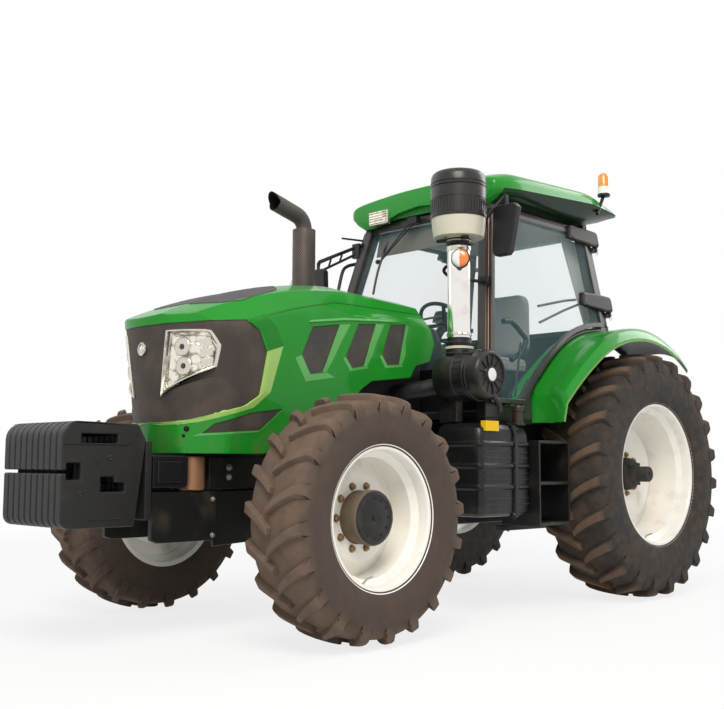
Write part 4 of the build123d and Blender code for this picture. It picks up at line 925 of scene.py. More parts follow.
# %% Chamfers round the grille and the vents
# Darker green painted on the nose's upper corner facet: painted shade where the facet turns away from the
# light.
green_painted_shade = enamel("green_enamel_painted_shade", (0.006, 0.19, 0.010), 0.3, 0.2)
GRILLE_EDGE = ((-0.176, 1.548), (-0.228, 1.303), (-0.330, 1.241), (-0.620, 1.156), (-0.80, 1.122))
facet(GRILLE_EDGE, ((-0.060, 1.585), (-0.150, 1.320), (-0.262, 1.232), (-0.560, 1.146), (-0.80, 1.112)),
      0.005, 60).twin().make("bonnet_grille_chamfer", green_painted_highlight, "hood_top")
facet(((-0.300, 1.700), (-0.236, 1.664), (-0.176, 1.548)),
      ((-0.200, 1.752), (-0.115, 1.700), (-0.060, 1.590)),
      0.003).twin().make(
    "bonnet_corner_facet", green_painted_shade, "hood_top")
VENTS = (((0.166, 1.717), (0.384, 1.753), (0.248, 1.460), (0.146, 1.442), (0.083, 1.547)),
         ((0.544, 1.771), (0.693, 1.786), (0.589, 1.519), (0.486, 1.499), (0.435, 1.562)),
         ((0.828, 1.793), (0.968, 1.807), (0.902, 1.550), (0.792, 1.539), (0.747, 1.598)),
         ((1.010, 1.78), (1.01, 1.79), (1.01, 1.79), (1.01, 1.79), (0.975, 1.62)))
# The pale green on these vent chamfers is a painted highlight.
pale = Shape()
for vent, following in zip(VENTS, VENTS[1:]):
    top, back, low, middle_low, tip = (Vector((*p, 0)) for p in vent)
    next_top, next_tip = Vector((*following[0], 0)), Vector((*following[4], 0))
    post = next_top.lerp(next_tip, 0.45)
    outer = [back.lerp(next_top, 0.55), back.lerp(low, 0.45).lerp(post, 0.40),
             back.lerp(low, 0.75) + Vector((0.045, 0, 0)), low + Vector((0.024, -0.004, 0))]
    pale.join(facet([back + Vector((0.004, 0, 0)), low + Vector((0.004, 0, 0))], outer, 0.004))
    wide = 1.0 if vent is VENTS[0] else 0.45
    below = [tip + Vector((-0.050, -0.020, 0)) * wide, middle_low + Vector((-0.034, -0.046, 0)) * wide,
             low + Vector((0.10, -0.026, 0)) * wide]
    pale.join(facet([tip + Vector((-0.004, 0, 0)), middle_low + Vector((0, -0.004, 0)),
                     low + Vector((0.03, -0.003, 0)) * wide], below, 0.004))
pale.twin().make("bonnet_vent_chamfers", green_soft_highlight, "hood_top")
facet(((0.13, 1.742), (0.42, 1.782), (0.72, 1.806), (1.02, 1.824)),
      ((0.15, 1.756), (0.42, 1.797), (0.72, 1.817), (1.02, 1.828)), 0.006, 40).twin().make(
    "bonnet_brow", green_soft_highlight, "hood_top")
facet(((-0.545, 1.086), (-0.205, 1.107)), ((-0.575, 1.072), (-0.225, 1.098)), 0.003).twin().make(
    "bonnet_low_vent_lip", green_soft_highlight, "hood_top")
SHUT_LINE = ((-0.30, 1.7125), (0.03, 1.812), (0.37, 1.890), (0.80, 1.896), (1.10, 1.898))
line = [on_side(p.x, p.y - 0.004, 0.0) for p in along(SHUT_LINE, 70)]
Shape().tube(line, 0.0016, 6).twin().make("bonnet_shut_line", moulded, "hood", "chassis_black")
print("chamfers laid")

# %% Grille, vents and small hardware
refined("hood_mesh", nose_mesh, 0, 30, keep=lambda c: c.y < at(0, -0.1, 0).y and c.z < 1.735,
        name="bonnet_nose_grille")
refined("hood_mesh", vent_mesh, 0, 30, keep=lambda c: c.y >= at(0, -0.1, 0).y and abs(c.x) > 0.3,
        name="bonnet_side_vents")
refined("hood_mesh", top_mesh, 0, 30, keep=lambda c: abs(c.x) < 0.2 and c.z > 1.735, name="bonnet_top_vent")
top_skin = tree_of("hood_top", "hood_mesh")
FIELD = ((-0.560, 0.10), (-0.542, 0.175), (-0.483, 0.231), (-0.422, 0.285), (-0.341, 0.314), (-0.235, 0.314),
         (-0.134, 0.296), (-0.034, 0.268), (0.018, 0.245), (0.050, 0.19), (0.070, 0.10))
rows = []
for y, half, _ in smooth_points([(*p, 0) for p in FIELD], 4):
    across = [half * (k - 12) / 12 for k in range(25)]
    rows.append([thrown(top_skin, at(x, y, 2.4), (0, 0, -1), 0.0030) for x in across]
                + [thrown(top_skin, at(x, y, 2.4), (0, 0, -1), -0.002) for x in (half, -half)])
Shape().loft(rows).make("bonnet_top_vent_field", top_mesh, "hood", "chassis_black")
knob = Shape()
for y, z, size in ((-0.601, 1.111, 0.015), (-0.73, 1.06, 0.009)):
    foot = on_side(y, z, 0.0)
    out = (on_side(y, z, 0.01) - foot).normalized()
    knob.lathe(foot, out,
               [(0, size), (0.004, size), (0.005, size * 0.8), (0.003, size * 0.7), (0.008, size * 0.5),
                           (0.009, size * 0.2)], 24)
knob.twin().make("bonnet_latch_knobs", black_cast, "hood", "chassis_black")
badge = on_nose(0, 1.545, 0.002)
Shape().lathe(badge, (0, -1, 0), [(0, 0.037), (0.006, 0.036), (0.008, 0.033), (0.006, 0.030), (0.001, 0.029),
                                  (0.001, 0.020), (0.005, 0.018), (0.006, 0.012)], 48).make(
    "nose_plain_ring", bezel, "hood", "bright_steel")
print("grille and hardware done")

# %% [markdown]
# ## Headlamps
# A headlamp reads as three layers: a bright frame, a clear cover, and behind it a pan of silvered facets
# with two bowls, each with its dark bulb. Every layer is one outline, drawn in towards its middle and set
# back. The nose is open under a lamp, so the layers lie on a smooth surface fitted to the nose around it.

# %% Build the headlamps
LAMP = [Vector(p) for p in ((0.190, 1.634), (0.340, 1.642), (0.362, 1.557), (0.347, 1.440), (0.128, 1.284))]
LAMP_MIDDLE = Vector((0.255, 1.500))
rim = [LAMP_MIDDLE.lerp(p, 1.2) for p in LAMP]
spots = [on_nose(p.x, p.y) for p in along([(*p, 0) for p in rim + rim[:1]], 40)]
terms = np.array([[1, s.x, s.z, s.x * s.x, s.x * s.z, s.z * s.z] for s in spots])
FIT = np.linalg.lstsq(terms, np.array([s.y for s in spots]), rcond=None)[0].tolist()


def on_lamp(x, z, lift=0.0):
    """Place on a smooth surface fitted to the nose around the lamp, lifted off it."""
    a, b, c, d, e, f = FIT
    outward = Vector((b + 2 * d * x + e * z, -1, c + e * x + 2 * f * z)).normalized()
    return Vector((x, a + b * x + c * z + d * x * x + e * x * z + f * z * z, z)) + outward * lift


def lamp_ring(share, lift, push=0.0):
    """The lamp's outline, drawn in to a share of its size, lifted off the nose and pushed back."""
    corners = [LAMP_MIDDLE.lerp(p, share) for p in LAMP]
    points = along([(*p, 0) for p in corners + corners[:1]], 51)[:-1]
    return [on_lamp(p.x, p.y, lift) + Vector((0, push, 0)) for p in points]


frame_shape = Shape().loft([lamp_ring(1.03, -0.002), lamp_ring(1.03, 0.004), lamp_ring(1.0, 0.010),
                            lamp_ring(0.955, 0.011), lamp_ring(0.93, 0.005), lamp_ring(0.91, 0.0, 0.012),
                            lamp_ring(0.90, 0.0, 0.030)], False)
frame_shape.twin().make("headlamp_frames", bezel, "hood", "bright_steel", smooth=40, replaces=("headlights",))
Shape().loft([lamp_ring(0.905, 0.0, 0.030), lamp_ring(0.80, 0.0, 0.036), lamp_ring(0.76, 0.0, 0.030),
              lamp_ring(0.50, 0.0, 0.034), lamp_ring(0.46, 0.0, 0.028), lamp_ring(0.02, 0.0, 0.030)],
             False).twin().make("headlamp_pans", silver, "hood", "bright_steel", smooth=15)
bowls, bulbs, steps_in = Shape(), Shape(), Shape()
aim = Vector((0.30, -0.95, 0.02)).normalized()
for x, z in ((0.246, 1.546), (0.246, 1.444)):
    seat_at = on_lamp(x, z) + Vector((0, 0.026, 0))
    bowls.lathe(seat_at, aim, [(0.024, 0.050), (0.026, 0.047), (0.020, 0.044), (0.008, 0.034), (0.0, 0.020)],
                40)
    bulbs.lathe(seat_at, aim, [(0.0, 0.020), (0.016, 0.019), (0.026, 0.015), (0.029, 0.008), (0.027, 0.003)],
                24)
for number in range(3):
    z = 1.44 + 0.055 * number
    a, b = on_lamp(0.300, z) + Vector((0, 0.028, 0)), on_lamp(0.335, z + 0.01) + Vector((0, 0.020, 0))
    steps_in.prism([a, b, b + Vector((0, 0, 0.046)), a + Vector((0, 0, 0.046))], (-0.004, -0.010, 0))
bowls.twin().make("headlamp_bowls", bezel, "hood", "bright_steel", smooth=40)
bulbs.twin().make("headlamp_bulbs", black_cast, "hood_mesh")
steps_in.twin().make("headlamp_steps", bezel, "hood", "bright_steel", bevel=0.002)
patch = [[on_lamp(x, z, lift) for x, z in ((0.128, 1.300), (0.352, 1.455), (0.354, 1.372), (0.112, 1.262))]
         for lift in (-0.004, 0.0015)]
Shape().loft(patch).twin().make("headlamp_corner_fillers", nose_mesh, "hood_mesh")
Shape().loft([lamp_ring(0.935, 0.004), lamp_ring(0.6, 0.009), lamp_ring(0.3, 0.011), lamp_ring(0.01, 0.012)],
             False).twin().make("headlamp_covers", lamp_glass, "hood", "clear_glass", smooth=40)
print("headlamps done")

# %% [markdown]
# ## Front weights
# Ten suitcase weights hang on the carrier. Each is a thick casting with large radii, so the row reads as
# ribs across the top. The slot that hooks over the carrier and the handle's opening go right through, and
# the outermost casting shows a raised face with studs. A near-black block fills the slot's middle, a painted
# shade.


# %% Cast the weights
def loops_plate(shape, loops, push):
    """Plate with openings: the first loop is its outline."""
    loops, push = [[Vector(p) for p in loop] for loop in loops], Vector(push)
    flat = [p for loop in loops for p in loop]
    count = len(flat)
    faces = []
    for tri in tessellate_polygon(loops):
        faces += [list(tri), [count + i for i in reversed(tri)]]
    base = 0
    for loop in loops:
        for k in range(len(loop)):
            j = (k + 1) % len(loop)
            faces.append([base + k, base + j, count + base + j, count + base + k])
        base += len(loop)
    return shape.add(flat + [p + push for p in flat], faces)


WEIGHT_COUNT, WEIGHT_PITCH, WEIGHT_THICK = 10, 0.059, 0.055
WEIGHT_FRONT, WEIGHT_TOP, WEIGHT_LOW = -1.350, 1.132, 0.662
BIG_R, SMALL_R = 0.085, 0.05        # rounding of a weight's upper and lower front corner


def weight_loops(x):
    """Outline of a weight with its hook slot, then the handle's opening and the stepped one."""
    upper = [(WEIGHT_FRONT + BIG_R * (1 - math.sin(a)), WEIGHT_TOP - BIG_R + BIG_R * math.cos(a))
             for a in (math.radians(90 - 15 * k) for k in range(7))]
    back = [(-0.925, 1.125), (-0.880, 1.05), (-0.940, 0.612)]
    lower = [(WEIGHT_FRONT + SMALL_R * (1 - math.cos(a)), WEIGHT_LOW - SMALL_R * math.sin(a))
             for a in (math.radians(90 - 22.5 * k) for k in range(5))]
    slot = [(WEIGHT_FRONT, 0.878), (-1.322, 0.878), (-1.322, 0.847), (-1.248, 0.847), (-1.248, 0.928),
            (-1.322, 0.928), (-1.322, 0.893), (WEIGHT_FRONT, 0.893)]
    handle = [(-1.245, 1.026), (-1.045, 1.026), (-1.045, 1.070), (-1.245, 1.070)]
    step = [(-1.134, 0.787), (-1.000, 0.787), (-1.000, 0.830), (-1.060, 0.830), (-1.060, 0.860),
            (-1.134, 0.860)]
    return [[at(x, y, z) for y, z in loop] for loop in (upper + back + lower + slot, handle, step)]


castings = Shape()
for index in range(WEIGHT_COUNT):
    loops_plate(castings, weight_loops(-0.293 + WEIGHT_PITCH * index), (WEIGHT_THICK, 0, 0))
castings.make("front_weight_castings", weight_cast, "front_weights", bevel=0.009,
              segments=3, replaces=("front_weights",))
ridge = Shape()
for side in (1, -1):
    for path in (((-1.342, 1.020), (-0.991, 1.021), (-0.960, 1.040), (-0.922, 1.112)),
                 ((-1.20, 0.654), (-1.012, 0.656), (-1.002, 0.672), (-1.001, 0.716))):
        ridge.tube([at(side * 0.293, y, z) for y, z in path], 0.0045, 8)
    for y, z, size in ((-1.088, 0.953, 0.026), (-1.251, 0.777, 0.026), (-1.16, 0.925, 0.010),
                       (-1.165, 0.83, 0.010)):
        ridge.lathe(at(side * 0.290, y, z), (side, 0, 0), [(0, size * 0.6), (0.005, size * 0.6),
                                                          (0.008, size * 0.35), (0.006, size * 0.25)], 20)
ridge.make("front_weight_marks", black_cast, "front_weights")
# A near-black block fills the middle of the hook slot: painted shade inside the slot.
Shape().box(at(-0.200, -1.321, 0.848), at(0.200, -1.249, 0.927)).make(
    "front_weight_slot_shade", soot_and_painted_shade, "front_weights", bevel=0.002)
print("weights cast")

# %% [markdown]
# ## Front frame
# Below the nose the frame carries a hydraulic block, a round cover painted warm brown as painted warm light,
# a bolted side plate and their screws. They are small castings, so bevelled prisms and turned parts are
# enough.

# %% Hardware on the front frame
blocks, plates, screws = Shape(), Shape(), Shape()
for side in (1, -1):
    blocks.cheek(side, 0.165, ((-0.807, 0.80), (-0.60, 0.80), (-0.585, 0.815), (-0.585, 0.955),
                               (-0.60, 0.968), (-0.807, 0.968)), 0.085)
    blocks.cheek(side, 0.25, ((-0.780, 0.825), (-0.625, 0.825), (-0.625, 0.94), (-0.780, 0.94)), 0.008)
    plates.cheek(side, 0.205, ((-0.80, 0.53), (-0.76, 0.515), (-0.397, 0.515), (-0.385, 0.53),
                               (-0.385, 0.777), (-0.80, 0.777)), 0.03)
    plates.cheek(side, 0.20, ((-0.43, 0.788), (-0.051, 0.788), (-0.051, 0.963), (-0.43, 0.963)), 0.028)
    plates.cheek(side, 0.19, ((-0.385, 0.48), (0.02, 0.50), (0.02, 0.78), (-0.385, 0.78)), 0.022)
    for x, y, z, size in ((0.228, -0.296, 0.905, 0.026), (0.228, -0.296, 0.853, 0.026),
                          (0.235, -0.408, 0.735, 0.020), (0.235, -0.408, 0.542, 0.020)):
        screws.bolt(at(side * x, y, z), (side, 0, 0), size)
plates.box(at(-0.19, -0.56, 0.90), at(0.19, -0.05, 1.035))
blocks.make("frame_hydraulic_blocks", moulded, "front_support", bevel=0.006)
plates.make("frame_side_plates", black_cast, "front_support", bevel=0.004)
screws.make("frame_screws", zinc, "front_support", "bright_steel", bevel=0.001)
# The round covers' warm brown is painted warm light.
covers = Shape()
for side in (1, -1):
    covers.lathe(at(side * 0.186, -0.512, 0.784), (0, 0, 1), [(0, 0.060), (0.004, 0.066), (0.176, 0.066),
                                                            (0.183, 0.060)], 40)
covers.make("frame_round_covers", rust_and_warm_light, "front_support")
print("front frame dressed")

# %% [markdown]
# ## Air intake
# Outside air enters a pre-cleaner, falls through a polished pipe and reaches the filter canister on the
# cab's front corner. All of it is turned work, so a lathe profile gives each part. The lid's grip ribs and
# the canister's end ribs are small prisms set round the axis.

# %% Turn the pre-cleaner
INTAKE, up = at(0.700, 1.132, 0), Vector((0, 0, 1))
BOWL_LOW, PIPE_LOW = 2.295, 1.700
WIDER = 1.06                        # the bowl and the lid against their drawn radii
base = INTAKE + up * BOWL_LOW
bowl = [(0.075, 0.066), (0.075, 0.078), (0.055, 0.090), (0.048, 0.130), (0.052, 0.150), (0.110, 0.158),
        (0.185, 0.164), (0.186, 0.150), (0.120, 0.140), (0.09, 0.07)]
bowl = [(rise, radius if radius < 0.1 else radius * WIDER) for rise, radius in bowl]
Shape().lathe(base, up, bowl, 80).make("precleaner_bowl", bowl_cream, "precleaner", "rim_cream",
                                       bevel=0.002, smooth=35, replaces=("precleaner",))
lid = [(0.172, 0.10), (0.172, 0.166), (0.180, 0.169), (0.190, 0.169), (0.194, 0.164), (0.290, 0.163),
       (0.294, 0.166), (0.366, 0.166), (0.370, 0.162), (0.374, 0.166), (0.386, 0.167), (0.392, 0.163),
       (0.396, 0.166), (0.432, 0.164), (0.455, 0.156), (0.468, 0.142), (0.475, 0.120), (0.475, 0.0)]
lid_shape = Shape().lathe(base, up, [(rise, radius * WIDER) for rise, radius in lid], 96)
lid_shape.lathe(base + up * 0.470, up, [(0, 0.012), (0.006, 0.012), (0.010, 0.007)], 16)
for a in turns(48):
    ways = ways_out("Z", a)
    lid_shape.fin(base + up * 0.198 + ways[0] * 0.170, ways, 0.004, 0.003, 0.0065, up * 0.088)
lid_shape.make("precleaner_lid", lid_plastic, "precleaner", smooth=35)
throat = Shape().lathe(base, up,
                       [(0.022, 0.070), (0.022, 0.078), (0.030, 0.080), (0.150, 0.066), (0.150, 0.05)], 48)
for a in turns(5):
    blade = []
    for k in range(8):
        b, rise = a + 0.4 + 0.11 * k, 0.058 + 0.011 * k
        blade.append([base + Vector((math.cos(b) * r, math.sin(b) * r, rise + d))
                      for r, d in ((0.068, 0), (0.150, 0.012), (0.150, 0.016), (0.068, 0.004))])
    throat.loft(blade)
throat.make("precleaner_vanes", bowl_cream, "precleaner", "rim_cream", smooth=35)
feet = Shape()
for a in turns(3):
    ways = ways_out("Z", a - 0.5)
    feet.fin(base + up * 0.030 + ways[0] * 0.072, ways, 0.020, 0.015, 0.070, up * 0.014)
feet.lathe(base, up, [(0.012, 0.066), (0.012, 0.079), (0.046, 0.080), (0.048, 0.066)], 48)
feet.make("precleaner_feet", moulded, "precleaner", bevel=0.003)
print("pre-cleaner turned")

# %% Turn the polished pipe and its boot
pipe_top = BOWL_LOW - PIPE_LOW - 0.012
pipe = [(0.0, 0.066), (0.0, 0.072), (pipe_top, 0.072), (pipe_top, 0.066)]
Shape().lathe(INTAKE + up * PIPE_LOW, up, pipe, 72).make(
    "intake_pipe_polished", chrome, "intake_pipe", replaces=("intake_pipe",))
clamps = Shape()
for z, high in ((2.262, 0.028), (1.722, 0.022)):
    clamps.lathe(INTAKE + up * z, up, [(0, 0.072), (0, 0.077), (high * 0.2, 0.0775), (high * 0.8, 0.0775),
                                       (high, 0.077), (high, 0.072)], 64)
    clamps.bolt(INTAKE + Vector((0.062, -0.055, z + high / 2)), (1, 0.4, 0), 0.016, False)
    screw = [INTAKE + Vector((x, y, z + high / 2)) for x, y in ((0.045, -0.066), (0.085, -0.035))]
    clamps.tube(screw, 0.005, 8)
clamps.make("intake_clamps", bezel, "intake_pipe", bevel=0.0008)
boot = [(0.0, 0.088), (0.012, 0.090), (0.020, 0.084), (0.030, 0.084), (0.040, 0.080), (0.062, 0.079),
        (0.070, 0.083), (0.082, 0.083), (0.086, 0.079), (0.112, 0.077),
        (0.112, 0.070)]
Shape().lathe(INTAKE + up * 1.600, up, boot, 64).make("intake_boot", moulded, "air_cleaner", bevel=0.0015)
Shape().lathe(INTAKE + up * 1.640, up, [(0, 0.078), (0, 0.090), (0.016, 0.090), (0.018, 0.078)], 64).make(
    "intake_base_ring", bowl_cream, "air_cleaner", "rim_cream", bevel=0.001)
print("pipe turned")

# %% Turn the canister
left_way = Vector((1, 0, 0))
can_foot = at(0.585, 1.132, 1.470)
can = [(0.0, 0.0), (0.0, 0.120), (0.012, 0.144), (0.028, 0.152), (0.150, 0.152), (0.154, 0.158),
       (0.166, 0.158), (0.170, 0.153), (0.236, 0.153), (0.240, 0.160), (0.256, 0.160), (0.260, 0.156),
       (0.266, 0.160), (0.280, 0.160), (0.284, 0.154), (0.345, 0.152), (0.362, 0.146), (0.370, 0.136),
       (0.370, 0.124), (0.358, 0.120), (0.356, 0.058), (0.362, 0.054), (0.372, 0.050),
       (0.372, 0.0)]
can_shape = Shape().lathe(can_foot, left_way, can, 96)
for a in turns(12, 0.5):
    ways = ways_out("X", a)
    can_shape.fin(can_foot + left_way * 0.352 + ways[0] * 0.050, ways, 0.004, 0.006, 0.078, left_way * 0.012)
for a in turns(24):
    ways = ways_out("X", a)
    can_shape.fin(can_foot + left_way * 0.172 + ways[0] * 0.150, ways, 0.002, 0.002, 0.006, left_way * 0.062)
clips = Shape()
for a in (0.55, 2.2, 3.75, 5.3):
    ways = ways_out("X", a)
    clips.fin(can_foot + left_way * 0.228 + ways[0] * 0.153, ways, 0.013, 0.011, 0.013, left_way * 0.062)
can_shape.make("canister_body", black_cast, "air_cleaner", bevel=0.001, replaces=("air_cleaner",))
clips.make("canister_clips", moulded, "air_cleaner", bevel=0.003)
Shape().lathe(can_foot + left_way * 0.371, left_way, [(0, 0.040), (0.002, 0.039), (0.0035, 0.034)], 32).make(
    "canister_plain_dot", white_plate, "air_cleaner", "rim_cream")
hose = along([at(0.262, 1.000, 1.370), at(0.36, 1.02, 1.385), at(0.47, 1.06, 1.40), at(0.56, 1.11, 1.42),
              at(0.60, 1.132, 1.43)], 40)
Shape().tube(hose, [0.052 if k % 2 else 0.056 for k in range(40)], 32).make(
    "canister_hose", moulded, "air_cleaner", smooth=60)
Shape().tube(smooth_points([at(0.940, 1.150, 1.350), at(0.952, 1.175, 1.318), at(0.952, 1.205, 1.285),
                            at(0.950, 1.213, 1.245)], 5), 0.016, 20).make(
    "canister_dust_elbow", hinge_plastic, "air_cleaner")
bracket = Shape().box(at(0.600, 1.272, 1.430), at(0.650, 1.366, 1.510))
bracket.box(at(0.560, 1.10, 1.185), at(0.70, 1.165, 1.330))
bracket.make("canister_bracket", black_cast, "air_cleaner", "chassis_black", bevel=0.006)
print("canister turned")

# %% [markdown]
# ## Exhaust
# The silencer stands inside a punched guard, and its tip is a bent tube cut off level with the wind. The
# guard is an open cylinder with rolled ends, and the tip is a swept tube whose end stays open, its inside
# near-black with soot and painted shade.

# %% Bend the exhaust
stack = at(-0.500, 0.900, 0)
guard = [(0.0, 0.060), (0.0, 0.078), (0.006, 0.080), (0.985, 0.080), (0.991, 0.078), (0.991, 0.056)]
Shape().lathe(stack + up * 1.560, up, guard, 72).make("exhaust_guard_sheet", guard_mesh, "exhaust_stack",
                                                      "chassis_black", replaces=("exhaust_stack",))
TIP_R, TIP_BEND, TIP_LEAN = 0.054, 0.100, math.radians(75)
TIP_FRONT = at(0, 0.577, 0).y       # the tip's foremost point
bend = [stack + up * 2.500, stack + up * 2.550]
for k in range(1, 13):
    a = TIP_LEAN * k / 12
    bend.append(stack + Vector((0, -TIP_BEND * (1 - math.cos(a)), 2.550 + TIP_BEND * math.sin(a))))
ahead = Vector((0, -math.sin(TIP_LEAN), math.cos(TIP_LEAN)))
across = Vector((1, 0, 0))
tip_end = bend[-1] + ahead * 0.20
end_rings = []
for k, point in enumerate(bend + [bend[-1] + ahead * 0.09, tip_end]):
    straight = k >= len(bend) - 1
    toward = ahead if straight else (bend[k + 1] - bend[max(k - 1, 0)]).normalized()
    other = toward.cross(across)
    radius = TIP_R * (1 + 0.08 * max(0, k - 4) / 12)
    end_rings.append([point + (across * math.cos(b) + other * math.sin(b)) * radius for b in turns(40)])
slant = Vector((0, 0.26, 0.97))
mouth = [p + ahead * max(0.0, (p - tip_end).dot(slant)) for p in end_rings[-1]]
mouth = [Vector((p.x, max(p.y, TIP_FRONT), p.z)) for p in mouth]
middle_mouth = sum(mouth, Vector()) / len(mouth)
inner = [middle_mouth + (p - middle_mouth) * 0.90 for p in mouth]
deep = [p - ahead * 0.12 for p in inner]
Shape().loft(end_rings[:-1] + [mouth], False).make(
    "exhaust_tip", rust_grey, "exhaust_stack", "chassis_black", smooth=60)
# The mouth's inside is near-black: soot, and painted shade down the pipe.
Shape().loft([mouth, inner, deep], False).add(deep, [list(range(len(deep)))]).make(
    "exhaust_mouth", soot_and_painted_shade, "exhaust_stack", "chassis_black", smooth=60)
# The outlet's warm brown is rust, with painted warm light on it.
Shape().tube([stack + up * 1.258, stack + up * 1.565], 0.048, 32).tube(
    [at(-0.270, 0.900, 1.300), at(-0.500, 0.900, 1.300)], 0.047, 32).make(
    "exhaust_outlet", rust_and_warm_light, "exhaust_stack", "chassis_black")
print("exhaust bent")

# %% [markdown]
# ## Fenders
# The pressed fender is a doubly curved sheet: in side view it follows the wheel with three arcs, and
# outward its edge leans forward and falls. One function gives its points, and every piece of it is a strip
# along that curve: the skin, a lip in paler green that is a painted highlight along the edge, and a black
# tail and inner wall.


# %% Draw the fender's curve
FOOT_Y, FOOT_Z, TAIL_Y = 1.735, 1.19, 3.298
AXLE, FENDER_R = (2.820, 0.862), 1.040
FRONT_MIDDLE, FRONT_R = (2.820, 0.752), 1.150
FLANK_R, FLANK_TOP, FLANK_LOW = 2.710, 31.8, 43.8     # radius, and degrees from the vertical
FENDER_STEPS = 60


def fender_line(count):
    """Side view of the fender, from its foot to behind the wheel, as (y, z)."""
    offset, turn = FLANK_R - FRONT_R, math.radians(FLANK_TOP)
    flank = (FRONT_MIDDLE[0] + offset * math.sin(turn), FRONT_MIDDLE[1] - offset * math.cos(turn))
    line = [(FOOT_Y, 1.10), (FOOT_Y, FOOT_Z)]
    for centre, radius, start, end, steps in ((flank, FLANK_R, FLANK_LOW, FLANK_TOP, 12),
                                              (FRONT_MIDDLE, FRONT_R, FLANK_TOP, 0, 16),
                                              (AXLE, FENDER_R, 0, -40, 20)):
        for k in range(1, steps + 1):
            a = math.radians(start + (end - start) * k / steps)
            line.append((centre[0] - radius * math.sin(a), centre[1] + radius * math.cos(a)))
    return along([(y, z, 0) for y, z in line], count)


def fender_shift(x):
    """How far the fender leans forward and falls at a distance from the tractor's middle."""
    steps = ((0.900, 0.0, 0.0), (0.945, 0.016, 0.001), (0.990, 0.036, 0.004), (1.035, 0.060, 0.010),
             (1.080, 0.090, 0.042), (1.120, 0.119, 0.094))
    for (x0, f0, d0), (x1, f1, d1) in zip(steps, steps[1:]):
        if x <= x1:
            t = max(0.0, (x - x0) / (x1 - x0))
            return f0 + (f1 - f0) * t, d0 + (d1 - d0) * t
    return steps[-1][1:]


LINE = fender_line(160)


def fender_point(x, share, sink):
    """Point of the fender; share runs from the foot to the tail, sink is below its skin."""
    forward, drop = fender_shift(x)
    kept = [p for p in LINE if (p.y - drop >= FOOT_Z + 0.002 or p.x > 2.4) and p.x - forward <= TAIL_Y]
    step = share * (len(kept) - 1)
    k = min(int(step), len(kept) - 2)
    point = kept[k].lerp(kept[k + 1], step - k)
    slope = kept[k + 1] - kept[k]
    normal = Vector((-slope.y, slope.x, 0)).normalized()
    point = point - normal * sink
    return at(x, point.x - forward, point.y - drop)


print("fender line of", len(LINE), "points")


# %% Press the fenders
def fender_strip(first, last, section):
    """Piece that follows the fender between two of its steps; its section is (x, sink) pairs."""
    return Shape().loft([[fender_point(x, k / FENDER_STEPS, sink) for x, sink in section]
                         for k in range(first, last + 1)])


def sheet_section(top, under):
    stations = (0.612, 0.70, 0.80, 0.90, 0.945, 0.990, 1.035, 1.058, 1.080, 1.100, 1.118)
    return [(x, top) for x in stations] + [(x, under) for x in reversed(stations)]


fender_strip(0, FENDER_STEPS, sheet_section(0.0, 0.009)).twin().make(
    "fender_skins", green, "rear_fenders", bevel=0.003, smooth=35, replaces=("rear_fenders",))
fender_strip(0, 55, ((1.105, 0.008), (1.1185, 0.008), (1.1185, 0.022), (1.105, 0.020))).twin().make(
    "fender_lips", fender_lip, "rear_fenders", bevel=0.002)
tail = fender_strip(50, FENDER_STEPS, sheet_section(0.010, 0.030))
tail.join(fender_strip(0, FENDER_STEPS, ((0.612, 0.004), (0.621, 0.004), (0.621, 0.058), (0.612, 0.058))))
tail.twin().make("fender_tails", moulded, "rear_fenders", "black_plastic", bevel=0.002)
print("fenders pressed")

# %% [markdown]
# ## Cab shell
# The posts, sills and door rings keep the CAD's mesh with rounder edges. The roof is a moulding, lofted
# from four drawn sections that fall away to the front and the rear. The hinge covers are separate plastic
# boots, and thin bars, wipers and a handrail are swept tubes.

# %% Mould the roof
ROOF = ((1.540, 0.540, 2.648, 0.668, 2.765, 0.632, 2.835, 0.250, 2.872),
        (1.690, 0.572, 2.700, 0.722, 2.776, 0.650, 2.895, 0.300, 2.930),
        (2.680, 0.572, 2.700, 0.735, 2.842, 0.655, 2.942, 0.350, 2.972),
        (3.060, 0.540, 2.806, 0.700, 2.824, 0.620, 2.868, 0.330, 2.890))


def roof_values(y):
    """The roof's eight sizes at a place along it, straight between its four drawn sections."""
    for first, second in zip(ROOF, ROOF[1:]):
        if y <= second[0] or second is ROOF[-1]:
            t = max(0.0, min(1.0, (y - first[0]) / (second[0] - first[0])))
            return [a + (b - a) * t for a, b in zip(first[1:], second[1:])]


def roof_ring(y, share=1.0):
    """Section of the roof, its sizes averaged over a short stretch so that no crease shows."""
    near = [roof_values(y + 0.02 * k) for k in range(-4, 5)]
    low, low_z, edge, edge_z, shoulder, shoulder_z, crown, crown_z = (sum(v) / len(near) for v in zip(*near))
    top = smooth_points([(edge, edge_z, 0), (shoulder, shoulder_z, 0), (crown, crown_z, 0),
                         (0, crown_z + 0.006, 0)], 5)
    side = [Vector((low, low_z, 0)), Vector((low + (edge - low) * 0.55, low_z + (edge_z - low_z) * 0.42, 0)),
            Vector((edge - 0.006, edge_z - 0.012, 0))]
    half = side + top
    arch = [0.47, 0.35, 0.20, 0.0]
    under = [Vector((x, 2.640 + 0.112 * (1 - (x / 0.47) ** 2) if y < 1.585 else max(2.706, low_z), 0))
             for x in arch]
    under[0].y = max(under[0].y, low_z)
    half = list(reversed(under)) + half
    full = half + [Vector((-p.x, p.y, 0)) for p in reversed(half[1:-1])]
    middle_z = (low_z + crown_z) / 2
    return [at(p.x * share, y, middle_z + (p.y - middle_z) * share) for p in full]


